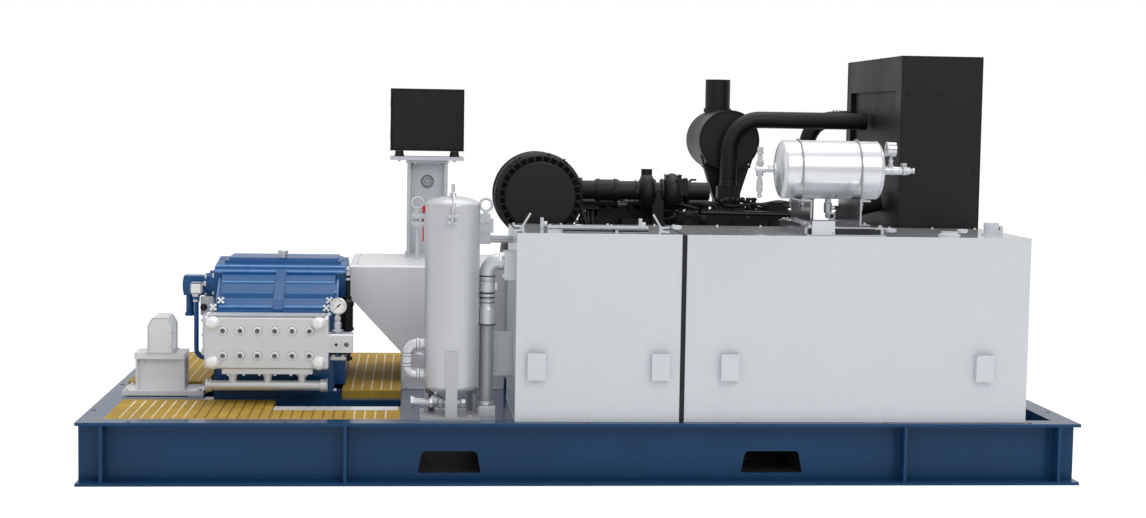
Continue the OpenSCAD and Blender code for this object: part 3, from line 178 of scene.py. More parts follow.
def finish_material(name, color, rough, metallic, vary, cloud, bump, grain, stretch=(1, 1, 1),
                    coat=0.0, specks=0.0, speck_color=None, rough_vary=0.08, streak=0.0,
                    distance=0.0006, shine=0.5, coat_rough=0.15, coat_ior=1.5):
    """Painted, cast or machined surface: colour clouds, streaks, specks, grain, gloss changes."""
    m = bpy.data.materials.new(name)
    m.use_nodes = True
    nt = m.node_tree
    bsdf = nt.nodes["Principled BSDF"]
    place = add_node(nt, "TexCoord").outputs["Object"]
    mapping = add_node(nt, "Mapping", {"Scale": stretch, 0: place})
    clouds = add_noise(nt, place, cloud, 6)
    body = add_ramp(nt, clouds, 0.32, shade(color, 1 - vary), 0.70, shade(color, 1 + vary))
    if specks > 0:
        cut = add_range(nt, add_noise(nt, place, 38, 8, 0.7), 0.66, 0.74, 0, specks)
        body = add_mix(nt, cut, body, shade(speck_color, 1) if speck_color else shade(color, 0.5))
    if streak > 0:
        runs = add_node(nt, "Mapping", {"Scale": (3.0, 3.0, 0.16), 0: place})
        wave = add_noise(nt, runs.outputs[0], 9, 4)
        body = add_mix(nt, add_range(nt, wave, 0.45, 0.8, 0, streak), body, shade(color, 0.62))
    nt.links.new(body, bsdf.inputs["Base Color"])
    gloss = add_range(nt, clouds, 0.3, 0.7, max(0.02, rough - rough_vary),
                      min(1.0, rough + rough_vary))
    nt.links.new(gloss, bsdf.inputs["Roughness"])
    fine = add_noise(nt, mapping.outputs[0], grain, 3)
    relief = add_node(nt, "Bump", {"Strength": bump, "Distance": distance, "Height": fine})
    nt.links.new(relief.outputs[0], bsdf.inputs["Normal"])
    bsdf.inputs["Metallic"].default_value = metallic
    bsdf.inputs["Coat Weight"].default_value = coat
    bsdf.inputs["Specular IOR Level"].default_value = shine
    bsdf.inputs["Coat Roughness"].default_value = coat_rough
    bsdf.inputs["Coat IOR"].default_value = coat_ior
    return m


# sRGB colour, roughness, metallic, change of colour, scale of the clouds, strength and scale of
# the grain, and what differs from finish_material's defaults
LOOKS = {
    "frame_blue": ((20, 62, 100), 0.42, 0, 0.08, 2.2, 0.06, 320,
        dict(streak=0.22, shine=0.1, coat=1, coat_rough=0.12, coat_ior=1.22)),
    "deck_blue": ((34, 66, 106), 0.3, 0, 0.05, 2.2, 0.03, 320,
        dict(coat=1, coat_rough=0.08, rough_vary=0.02, shine=0.3)),
    "pump_blue": ((6, 76, 132), 0.34, 0, 0.05, 5, 0.08, 240,
        dict(coat=0.2, streak=0.12, shine=0.3, coat_rough=0.12)),
    # lighter blue for the pump covers' beads: a painted highlight
    "highlight_blue": ((74, 130, 188), 0.3, 0, 0.05, 12, 0.05, 240, dict(coat=0.5)),
    "grating_yellow": ((172, 138, 44), 0.7, 0, 0.16, 9, 0.6, 420,
        dict(specks=0.35, speck_color=srgb(104, 82, 28), distance=0.0015)),
    "light_grey_paint": ((200, 204, 209), 0.36, 0, 0.015, 1.4, 0.05, 300,
        dict(coat=0.35, streak=0.04, shine=0.4)),
    "guard_grey": ((225, 226, 229), 0.36, 0, 0.015, 1.4, 0.05, 300, dict(coat=0.5, streak=0.04)),
    "gloss_grey": ((204, 207, 211), 0.3, 0, 0.015, 1.4, 0.02, 300,
        dict(coat=1, coat_rough=0.04, rough_vary=0.01)),
    "post_grey": ((178, 180, 183), 0.4, 0.3, 0.02, 3, 0.03, 160, dict(stretch=(1, 1, 8))),
    "receiver_steel": ((222, 224, 228), 0.22, 0.6, 0.01, 3, 0.012, 120,
        dict(stretch=(14, 1, 1), rough_vary=0.03)),
    # dark grey; on the fork tunnels and in the plugs' sockets it is painted shade
    "socket_grey": ((62, 62, 66), 0.35, 0.4, 0.08, 30, 0.05, 200, {}),
    "black_paint": ((20, 20, 21), 0.46, 0, 0.12, 2.5, 0.06, 300, dict(streak=0.2, shine=0.28)),
    "stainless": ((206, 208, 211), 0.3, 0.75, 0.03, 5, 0.03, 90,
        dict(stretch=(1, 1, 14), rough_vary=0.05, streak=0.05)),
    "vessel_steel": ((194, 196, 200), 0.38, 0.4, 0.02, 3, 0.02, 90,
        dict(stretch=(1, 1, 10), rough_vary=0.04, streak=0.05)),
    "polished": ((204, 206, 210), 0.16, 0.9, 0.02, 3, 0.015, 120,
        dict(stretch=(14, 1, 1), rough_vary=0.04)),
    "machined": ((206, 208, 210), 0.34, 0.35, 0.03, 9, 0.05, 160,
        dict(stretch=(8, 1, 1), rough_vary=0.06)),
    "satin_pipe": ((204, 206, 209), 0.33, 0.5, 0.02, 3, 0.02, 120,
        dict(stretch=(1, 1, 8), rough_vary=0.04)),
    "bright_steel": ((236, 237, 239), 0.28, 0.2, 0.02, 20, 0.03, 200, {}),
    # pale strips in the grating slots: painted light of the lit ground below
    "slot_lit_ground": ((236, 228, 206), 0.6, 0, 0.06, 12, 0.1, 200, {}),
    "hose_grey": ((158, 159, 161), 0.36, 0.35, 0.05, 6, 0.05, 200, dict(streak=0.12)),
    "black_rubber": ((26, 26, 27), 0.75, 0, 0.15, 14, 0.3, 500, {}),
    "engine_black": ((19, 19, 20), 0.46, 0, 0.16, 7, 0.3, 180,
        dict(specks=0.2, distance=0.001, shine=0.32)),
    "dark_steel": ((40, 40, 42), 0.38, 0.4, 0.15, 12, 0.1, 260, {}),
    "dial": ((238, 238, 234), 0.35, 0, 0.015, 30, 0.02, 300, dict(coat=0.6)),
    # black of the dial print and bolts; on holes and pipe mouths it is painted shade
    "ink_and_hole_shade": ((24, 24, 26), 0.5, 0, 0.12, 60, 0.05, 300, {}),
    "red_paint": ((196, 26, 26), 0.4, 0, 0.08, 30, 0.06, 300, {}),
    "zinc": ((208, 210, 212), 0.3, 0.7, 0.06, 40, 0.06, 300, {}),
    # brown strips in the slots under the pump: painted shade of the ground below
    "slot_shaded_ground": ((122, 92, 30), 0.6, 0, 0.08, 12, 0.06, 300, {}),
    # black for the air filter's slots: painted shade
    "slot_shade_black": ((7, 7, 8), 0.9, 0, 0.2, 12, 0.1, 200, dict(shine=0.1)),
    # dark grey; on the flange holes it is painted shade
    "dark_gap": ((26, 28, 34), 0.8, 0, 0.15, 12, 0.1, 200, {}),
}
MATS = {name: finish_material(name, srgb(*color), *numbers, **extra)
        for name, (color, *numbers, extra) in LOOKS.items()}

# nodes that look otherwise than their slot
NODE_LOOKS = {
    # fork_tunnels take the dark grey in place of the frame's blue: painted shade inside the
    # tunnels
    "socket_grey": ["fork_tunnels"],
    "machined": ["pump_fluid_end", "discharge_block"],
    "bright_steel": ["pump_plugs"],
    "vessel_steel": ["vessel_shell", "vessel_heads"],
    "satin_pipe": ["vessel_piping", "suction_manifold", "suction_riser"],
    "post_grey": ["vessel_legs"],
    "receiver_steel": ["receiver_shell", "receiver_heads"],
    "polished": ["receiver_piping", "receiver_cradle"],
    # aux_bracket and aux_cover take the paler guard grey: painted light making up for the key
    # light's shade on them
    "guard_grey": ["coupling_guard", "aux_bracket", "aux_cover"],
    "gloss_grey": ["left_tank_top", "fuel_tank_top"],
    "deck_blue": ["deck_plate"],
}
look_of = {p["node"]: p["material_slot"] for p in frame["record"]["subparts"]}
look_of.update((node, look) for look, members in NODE_LOOKS.items() for node in members)
for name, ob in frame["nodes"].items():
    ob.data.materials.clear()
    ob.data.materials.append(MATS[look_of[name]])


# Mesh helpers: all measures in millimetres

RIGHT, BACK, UP = Matrix.Identity(3)
LEFT, FRONT, DOWN = -RIGHT, -BACK, -UP
PLANES = {"X": (BACK, UP), "Y": (RIGHT, UP), "Z": (RIGHT, BACK)}
SHARP_ANGLE = radians(35)
PIECES = []


def vec(*v):
    return Vector(v)


def solid(*pairs):
    """Profile of a solid turned shape: the (radius, height) pairs, closed on the axis."""
    return [(0, pairs[0][1]), *pairs, (0, pairs[-1][1])]


def disc(r, h):
    """Profile of a round disc, or of a hexagonal one if turned in 6 steps."""
    return solid((r, 0), (r, h))


def turns(count, start=0):
    """Angles of a full turn in equal steps, from a start in degrees."""
    return [radians(start) + 2*pi*k/count for k in range(count)]


def circle(centre, axis, r, angles):
    """Points around a centre, in the plane across an axis."""
    u, v = PLANES[axis]
    return [Vector(centre) + (u*cos(a) + v*sin(a))*r for a in angles]


def smooth_path(points, bend, corner=5):
    """Straight runs joined by round bends."""
    pts = [Vector(q) for q in points]
    out = [pts[0]]
    for a, b, c in zip(pts, pts[1:], pts[2:]):
        cut = min(bend, (a - b).length*0.48, (c - b).length*0.48)
        start = b + (a - b).normalized()*cut
        end = b + (c - b).normalized()*cut
        for i in range(corner + 1):
            t = i/corner
            out.append(start*(1 - t)**2 + b*2*t*(1 - t) + end*t**2)
    return out + [pts[-1]]


class Piece:
    """One visible piece, built in millimetres and handed over in metres when all are built."""

    def __init__(self, name, *looks, body="unit", slot=None, scale=0.001):
        self.name, self.looks, self.body, self.slot, self.scale = name, looks, body, slot, scale
        self.bm = bmesh.new()
        self.look = 0
        PIECES.append(self)

    def points(self, places):
        return [self.bm.verts.new(v) for v in places]

    def face(self, verts):
        self.bm.faces.new(verts).material_index = self.look

    def lathe(self, origin, direction, profile, steps=24, spin=0.0):
        """Turned shape: the profile lists (radius, height) along the direction."""
        turn = Vector(direction).normalized().to_track_quat("Z", "Y").to_matrix().to_4x4()
        base = Matrix.Translation(Vector(origin)) @ turn @ Matrix.Rotation(spin, 4, "Z")
        rings = [self.points(base @ Vector((r*cos(a), r*sin(a), h))
                             for a in (turns(steps) if r else [0.0])) for r, h in profile]
        for a, b in zip(rings, rings[1:]):
            for i in range(steps):
                j = (i + 1) % steps
                if len(a) > 1 and len(b) > 1:
                    self.face((a[i], a[j], b[j], b[i]))
                elif len(b) > 1:
                    self.face((a[0], b[j], b[i]))
                elif len(a) > 1:
                    self.face((a[i], a[j], b[0]))

    def bolt(self, place, direction, r, washer=True):
        """Hexagon head with a chamfer, on its washer."""
        h = r*0.8
        low = 0.0
        if washer:
            low = h*0.25
            self.lathe(place, direction, disc(r*1.25, low), 16)
        self.lathe(place, direction, [(0, low), (r, low), (r, low + h*0.8), (r*0.82, low + h),
                                      (0, low + h)], 6, spin=random.random())

    def bolts(self, xs, ys, zs, direction, r, washer=True):
        """Bolts at every mix of the places; a number stands for a list of one."""
        lists = [[v] if isinstance(v, (int, float)) else v for v in (xs, ys, zs)]
        for place in product(*lists):
            self.bolt(place, direction, r, washer)

    def block(self, low, high, edge=0):
        """Box with chamfered edges."""
        low, high = Vector(low), Vector(high)
        place = Matrix.LocRotScale((low + high)/2, None, high - low)
        made = bmesh.ops.create_cube(self.bm, size=1.0, matrix=place)["verts"]
        if edge > 0:
            edges = {e for v in made for e in v.link_edges}
            bmesh.ops.bevel(self.bm, geom=list(edges), offset=edge, segments=2, affect="EDGES",
                            clamp_overlap=True, material=-1)

    def tube(self, points, r, steps=8, closed=False):
        """Round tube along points; r is one radius, or one for each point."""
        pts = [Vector(q) for q in points]
        last = len(pts) - 1
        rings = []
        normal = None
        for i, at in enumerate(pts):
            if closed:
                tangent = (pts[(i + 1) % len(pts)] - pts[i - 1]).normalized()
            else:
                tangent = (pts[min(i + 1, last)] - pts[max(i - 1, 0)]).normalized()
            if normal is None:
                normal = tangent.orthogonal().normalized()
            normal = (normal - tangent*normal.dot(tangent)).normalized()
            side = tangent.cross(normal)
            rad = r[i] if isinstance(r, list) else r
            rings.append(self.points(at + (normal*cos(a) + side*sin(a))*rad
                                     for a in turns(steps)))
        for a, b in zip(rings, rings[1:] + rings[:1] if closed else rings[1:]):
            for i in range(steps):
                j = (i + 1) % steps
                self.face((a[i], a[j], b[j], b[i]))
        if not closed:
            self.face(rings[0][::-1])
            self.face(rings[-1])

    def pipe(self, points, bend, r, steps=8, corner=5):
        self.tube(smooth_path(points, bend, corner), r, steps)

    def ring(self, centre, axis, r, wire, steps=6, count=40):
        """Round wire or bead in a circle about an axis."""
        self.tube(circle(centre, axis, r, turns(count)), wire, steps, closed=True)

    def hand_over(self):
        """Make the object and name its body."""
        self.bm.transform(Matrix.Scale(self.scale, 4))
        self.bm.normal_update()
        mesh = bpy.data.meshes.new(self.name)
        self.bm.to_mesh(mesh)
        self.bm.free()
        ob = bpy.data.objects.new(self.name, mesh)
        scene.collection.objects.link(ob)
        for look in self.looks:
            mesh.materials.append(MATS[look])
        mesh.shade_smooth()
        mesh.set_sharp_from_angle(angle=SHARP_ANGLE)
        body, first = self.body, self.looks[0]
        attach(ob, body)


# Pump

FLUID_FRONT = -650
PLUGS = [(-1778 + i*85, z) for i in range(6) for z in (545, 669)]
OUTLET_X, OUTLET_Z = -1220, 603
CRANK = (160, 642)


def pump_pieces():
    # dark hex discs in the plugs' and the outlet plug's sockets: painted shade of the recesses
    p = Piece("plug_sockets", "socket_grey", slot="black_paint")
    for x, z in PLUGS:
        p.lathe((x, FLUID_FRONT - 3.2, z), FRONT, disc(8.1, 1.2), 6)
        p.ring((x, FLUID_FRONT - 0.4, z), "Y", 21.4, 1, 6, 36)
        p.lathe((x, FLUID_FRONT - 13.1, z), FRONT,
                [(8.3, 0), (12.4, 0), (12.4, 0.6), (8.3, 0.3), (8.3, 0)], 24)
    p.lathe((OUTLET_X, FLUID_FRONT - 5.5, OUTLET_Z), FRONT, disc(9.1, 1.2), 6)
    p.ring((OUTLET_X, FLUID_FRONT - 0.5, OUTLET_Z), "Y", 22.2, 0.9, 6, 36)

    p = Piece("tie_nuts_and_seats", "bright_steel")
    for x, z in PLUGS:
        p.ring((x, FLUID_FRONT - 8.6, z), "Y", 17.6, 2.8, 10, 32)
        p.lathe((x, FLUID_FRONT - 13.1, z), FRONT,
                [(12.5, 0), (15, 0), (14.5, 1.2), (12.9, 1.2), (12.5, 0)], 24)
    p.lathe((OUTLET_X, FLUID_FRONT, OUTLET_Z), FRONT, [(9.8, 4.8), (12.5, 6.2), (19.5, 6.2),
            (21.5, 4), (21.5, 0)], 28)
    for x, z in product((-1827, -1306), (510, 708)):
        p.lathe((x, FLUID_FRONT, z), FRONT,
                [(34, 0), (34.5, 3), (33.5, 8.5), (30, 10.5), (30, 22),
                 (27.5, 29), (21, 34.5), (12, 37.2), (0, 38)], 36)
    p.bolts((-1855, -1260), (-590, -550), 742, UP, 9)

    p = Piece("block_side_plate", "machined")
    p.block((-1881, -612, 540), (-1866.5, -508, 742), 3)
    p.bolts(-1881, (-590, -530), (565, 640, 715), LEFT, 8)
    p.block((-1850, -646, 742), (-1276, -500, 745), 1.5)

    # grease fittings shown as small white crosses, in metres: rounding decides how the sides of
    # their slanting arms lie
    p = Piece("grease_fittings", "dial", scale=1)
    for x, y, z in ((-1808, -450, 800), (-1842, -484, 769), (-1265, -446, 803),
            (-1278, -484, 768)):
        p.lathe(vec(x, y + 16, z - 16)/1000, (0, -0.7, 0.7), disc(0.007, 0.022), 12)
        at = vec(x, y - 2, z)/1000
        for dx, dz in product((1, -1), (1, -1)):
            arm = vec(dx, 0, dz).normalized()
            p.tube([at, at + arm*0.015], [0.0040, 0.0060])
            p.lathe(at + arm*0.012, arm, disc(0.0072, 0.008), 6)

    p = Piece("breather_cap", "zinc")
    p.lathe((-1528, -15, 988.2), UP,
            [(21.5, 0), (30, 0), (30, 4), (24.5, 6), (24.5, 10), (29, 12), (29, 19), (24.5, 21),
             (24.5, 25.5), (28, 27.5), (28, 34), (24, 37), (0, 37)], 36)
    for rib in circle((-1528, -15, 1000.6), "Z", 29, turns(28)):
        p.tube([rib, rib + UP*6.2], 1.2, 6)

    # pale fitting cube on the oil pump, its union and the grey plate beside it
    p = Piece("oil_fitting_cube", "dial")
    p.block((-1979, -311, 817), (-1919, -249, 876), 6)
    for dx, dz in product((-18, 18), (-18, 18)):
        p.lathe((-1949 + dx, -311, 846 + dz), FRONT, disc(5.5, 4), 12)

    p = Piece("oil_hose_unions", "zinc")
    p.lathe((-1949, -280, 817), DOWN, solid((21, 0), (21, 14), (17, 16), (17, 30)), 6)
    p.lathe((-1949, -280, 786), DOWN, disc(17.5, 10), 20)
    p.lathe((-1859, -280, 487), LEFT, disc(19.5, 12), 6)

    # in metres too: the plate's bevels meet in its middle
    p = Piece("lifting_plate", "light_grey_paint", scale=1)
    p.block(vec(-1932, -246, 700)/1000, vec(-1865.5, -238, 800)/1000, 0.004)
    p.lathe(vec(-1912, -246.2, 750)/1000, FRONT,
            [(0.011, 0), (0.016, 0), (0.016, 0.004), (0.011, 0.004)], 24)

    # dark disc on the plate's hole: painted shade of the hole
    p = Piece("lifting_plate_hole", "ink_and_hole_shade")
    p.lathe((-1912, -246.4, 750), FRONT, disc(10.8, 0.6), 24)

    p = Piece("end_cover_bolts", "zinc")
    covers = [circle((x, *CRANK), "X", 185, turns(8, 22)) for x in (-1879, -1175)]
    for left, right in zip(*covers):
        p.bolt(left, LEFT, 11)
        p.bolt(right, RIGHT, 11)
    for at in circle((-1891, *CRANK), "X", 95, turns(6, 15)):
        p.bolt(at, LEFT, 9)
    for at in circle((-1904.5, -165, 852), "X", 64, turns(4, 45)):
        p.lathe(at, LEFT, solid((10.5, 0), (10.5, 10), (9, 12)), 6)
    for z, y in product((820, 884), (-195, -135)):
        p.bolt((-2022, y, z), LEFT, 7)

    # beads along the pump covers' band edges; their lighter blue is a painted highlight
    p = Piece("casting_beads", "highlight_blue")
    for z in (520, 600, 680, 760, 840):
        p.tube([(-1242, -405, z), (-1228.5, -405, z)], 7, 6)
    for x in (-1833, -1229.5):
        p.tube([(x, -395, 485), (x, -395, 797), (x, -250, 893)], 6)
    for x0, x1 in ((-1815, -1550), (-1490, -1245)):
        for y, z in ((-474, 770), (-319, 880), (-248, 930)):
            p.tube([(x0, y, z), (x1, y, z)], 7.5, 12)
    for y, z in ((-190, 950), (-240, 928)):
        p.tube([(-1860, y, z), (-1194, y, z)], 9, 14)

    p = Piece("oil_flange_bolts", "dial")
    for x, z in ((-1867, 906), (-1913, 864), (-1867, 818)):
        p.block((x - 6.5, -236, z - 12), (x + 6.5, -214, z + 12), 2.5)

    p = Piece("plate_knob", "black_rubber", slot="black_paint")
    p.lathe((-1915, -246, 745), FRONT, solid((17.5, 0), (17.5, 14), (14, 18)), 28)

    p = Piece("filter_fittings", "zinc")
    for z, r in ((956, 9), (930, 7), (904, 10), (808, 11)):
        p.lathe((-1176, -300, z - 9), UP, solid((r + 4, 0), (r + 4, 10), (r, 13), (r, 20)), 6)

    p = Piece("filter_ribs", "black_paint")
    for z in (645, 668, 691, 714, 737):
        p.ring((-1180, -300, z), "Z", 31.3, 1.6, 6, 24)
    p.block((-1214, -308, 735), (-1199, -292, 768), 2)

    p = Piece("gauge_stem", "zinc")
    p.lathe((-1216, -608, 667), UP, solid((30, 0), (30, 6), (17.5, 8), (17.5, 40), (14.5, 43),
            (14.5, 50), (16.5, 54), (16.5, 68), (11, 74), (11, 82)), 8)

    p = Piece("discharge_unions", "black_paint")
    for x in (-1236, -1188):
        p.lathe((x, -600, 562), DOWN, solid((19, 0), (19, 13), (16.5, 14), (16.5, 17)), 6)
    p.lathe((-1172, -600, 528), RIGHT, solid((15, 0), (15, 16), (10, 18), (10, 30)), 6)

    p = Piece("suction_clamps", "zinc")
    for x in (-1810, -1235):
        p.bolt((x, -469, 345), UP, 11)
        p.bolt((x, 461, 405), UP, 11)
    for x in (-1856, -1268):
        p.ring((x, -600, 390), "X", 33.5, 3.5, 8, 28)
    for x in (-1732, -1560, -1391):
        for at in circle((x, -600, 440), "Z", 20.5, map(radians, (40, 140, 220, 320))):
            p.bolt(at, DOWN, 5)


DIAL_START, DIAL_TURN, NEEDLE_AT = 225, 270, 222


def gauge_dial(name, centre, direction, up, radius):
    """Dial with graduations and a needle, numbers left out."""
    def along(degrees, share, lift):
        a = radians(degrees)
        out = across*cos(a) + up*sin(a)
        return out, centre + out*radius*share + direction*lift

    across = up.cross(direction)

    p = Piece(name, "dial", "ink_and_hole_shade", "red_paint")
    p.lathe(centre, direction, disc(radius, 0.6), 40)
    for k in range(27):
        long, degrees = k % 5 == 0, DIAL_START - DIAL_TURN*k/26
        out, inner = along(degrees, 0.70 if long else 0.80, 0.7)
        outer = along(degrees, 0.94, 0.7)[1]
        side = direction.cross(out)*(radius*(0.034 if long else 0.020))
        p.look = 1 if k < 20 else 2
        p.face(p.points((inner - side, outer - side, outer + side, inner + side)))
    p.look = 1
    out, tip = along(NEEDLE_AT, 0.80, 1.2)
    tail = along(NEEDLE_AT, -0.42, 1.2)[1]
    side = direction.cross(out)*radius*0.11
    p.face(p.points((tail - side, tip, tail + side)))
    p.lathe(centre + direction*0.8, direction,
            [(0, 0), (radius*0.14, 0), (radius*0.12, 1.5), (0, 1.8)], 16)
    p.tube([along(DIAL_START - DIAL_TURN*k/40, 0.62, 0.6)[1] for k in range(41)], radius*0.012, 6)


pump_pieces()
gauge_dial("pump_gauge_dial", vec(-1213, -619.3, 792), FRONT, UP, 35.8)
gauge_dial("air_gauge_dial", vec(1507.6, -780, 1615), LEFT, UP, 34)


# Left bracket, guard, column, panel

def drive_pieces():
    p = Piece("bracket_bolts", "zinc")
    p.bolts((-2218, -2051), -290, 466, FRONT, 7)
    p.bolts((-2295, -1925), (-340, -130), 324, UP, 10)
    for z, x in product((550, 620), (-2179, -2074)):
        p.bolt((x, -330, z), FRONT, 4, washer=False)

    p = Piece("bracket_hems", "light_grey_paint")
    for y in (-331, -129):
        p.pipe([(-2187, y, 516), (-2187, y, 655), (-2163, y, 695), (-2090, y, 695),
                (-2066, y, 655), (-2066, y, 516)], 8, 3, 8)
    p.block((-2198, -336, 513.5), (-2055, -124, 518), 1.5)
    for x in (-2252, -2006):
        p.tube([(x, -291, 324), (x, -291, 504)], 3.5)

    p = Piece("guard_folds", "light_grey_paint")
    for y, top in ((-100, 947), (700, 955)):
        p.tube([(-900, y, 300), (-900, y, 500), (-1170, y, 790), (-1170, y, top)], 3.5)
    for x, y, z in ((-1170, -92, 955), (-1170, -100, 790), (-900, -100, 500)):
        p.tube([(x, y, z), (x, 700, z)], 3.5)
    p.tube([(-1170, 700, 955), (-360, 700, 955)], 3.5)
    p.block((-905, -118, 300), (-360, -100, 306), 1)
    p.block((-905, 700, 300), (-360, 718, 306), 1)

    p = Piece("guard_screws", "zinc")
    p.bolts(range(-1120, -415, 88), -100, 928, FRONT, 4.2, washer=False)
    p.bolts(range(-870, -394, 95), (-109, 709), 306, UP, 6)
    p.bolts((-1140, -390), (0, 150, 300, 450, 600), 955, UP, 5)

    p = Piece("guard_rear_hatch", "light_grey_paint")
    p.block((-860, 700, 420), (-460, 705, 820), 2)
    p.bolts((-840, -480), 705, (440, 620, 800), BACK, 6)
    for z in range(500, 729, 38):
        p.tube([(-790, 706, z), (-530, 706, z)], 5)

    p = Piece("column_boss", "dark_gap")
    p.lathe((-767, 562, 1380), FRONT, [(34.5, 0), (34.5, 2), (31, 2), (31, -0.2)], 40)
    for r in (33.5, 25.5, 15.5):
        p.ring((-767, 561.6, 1380), "Y", r, 1.8, 6, 36)
    for at in circle((-767, 562, 1380), "Y", 8, turns(3, 90)):
        p.lathe(at, FRONT, disc(3.5, 1.5), 12)

    p = Piece("column_welds", "light_grey_paint")
    for x, y in product((-877, -657), (500, 680)):
        p.tube([(x, y, 973), (x, y, 1486)], 3, 6)
    for x, y in product((-884, -650), (520, 660)):
        p.lathe((x, y, 973), UP, disc(6, 4), 8)
    p.tube([(-886, 492, 973), (-648, 492, 973), (-648, 688, 973), (-886, 688, 973)], 3, 6,
            closed=True)

    p = Piece("column_bolts", "zinc")
    for y, x in product((514, 672), (-834, -700)):
        p.bolt((x, y, 973), UP, 9)
        p.bolt((x, y, 1486), DOWN, 9)
    p.bolts((-925, -616), (510, 670), 1500, DOWN, 8)

    p = Piece("panel_rear_ribs", "black_paint")
    for z in (1600, 1680, 1760, 1840):
        p.block((-900, 700, z - 12), (-640, 704, z + 12), 2)

    p = Piece("panel_rear_bolts", "ink_and_hole_shade")
    p.bolts((-940, -600), 700, (1580, 1870), BACK, 5)

    p = Piece("panel_feet", "black_rubber")
    for x, y in product((-925, -616), (510, 670)):
        p.lathe((x, y, 1520), UP, solid((27, 0), (25.5, 6), (23, 18), (22, 31.5)), 28)

    p = Piece("red_tag", "red_paint")
    p.block((-795, 322, 1212), (-776, 336, 1256), 3)
    p.tube([(-789, 330, 1212), (-789, 330, 1058)], 4)

    p = Piece("rod_clamp_bolts", "zinc")
    p.bolts((-842, -798), 306, (1197, 1153), FRONT, 6)
    for x in (-842, -798):
        p.tube([(x, 330, 1166), (x, 330, 1184)], 5)
    p.bolts((-476, -510), -738, 1226, FRONT, 6)
    p.lathe((-820, 330, 1210), UP, solid((17, 0), (17, 10), (12, 13)), 6)


drive_pieces()


# Vessel, riser and tanks

VESSEL, RISER = (-656, -980), (-486, -950)


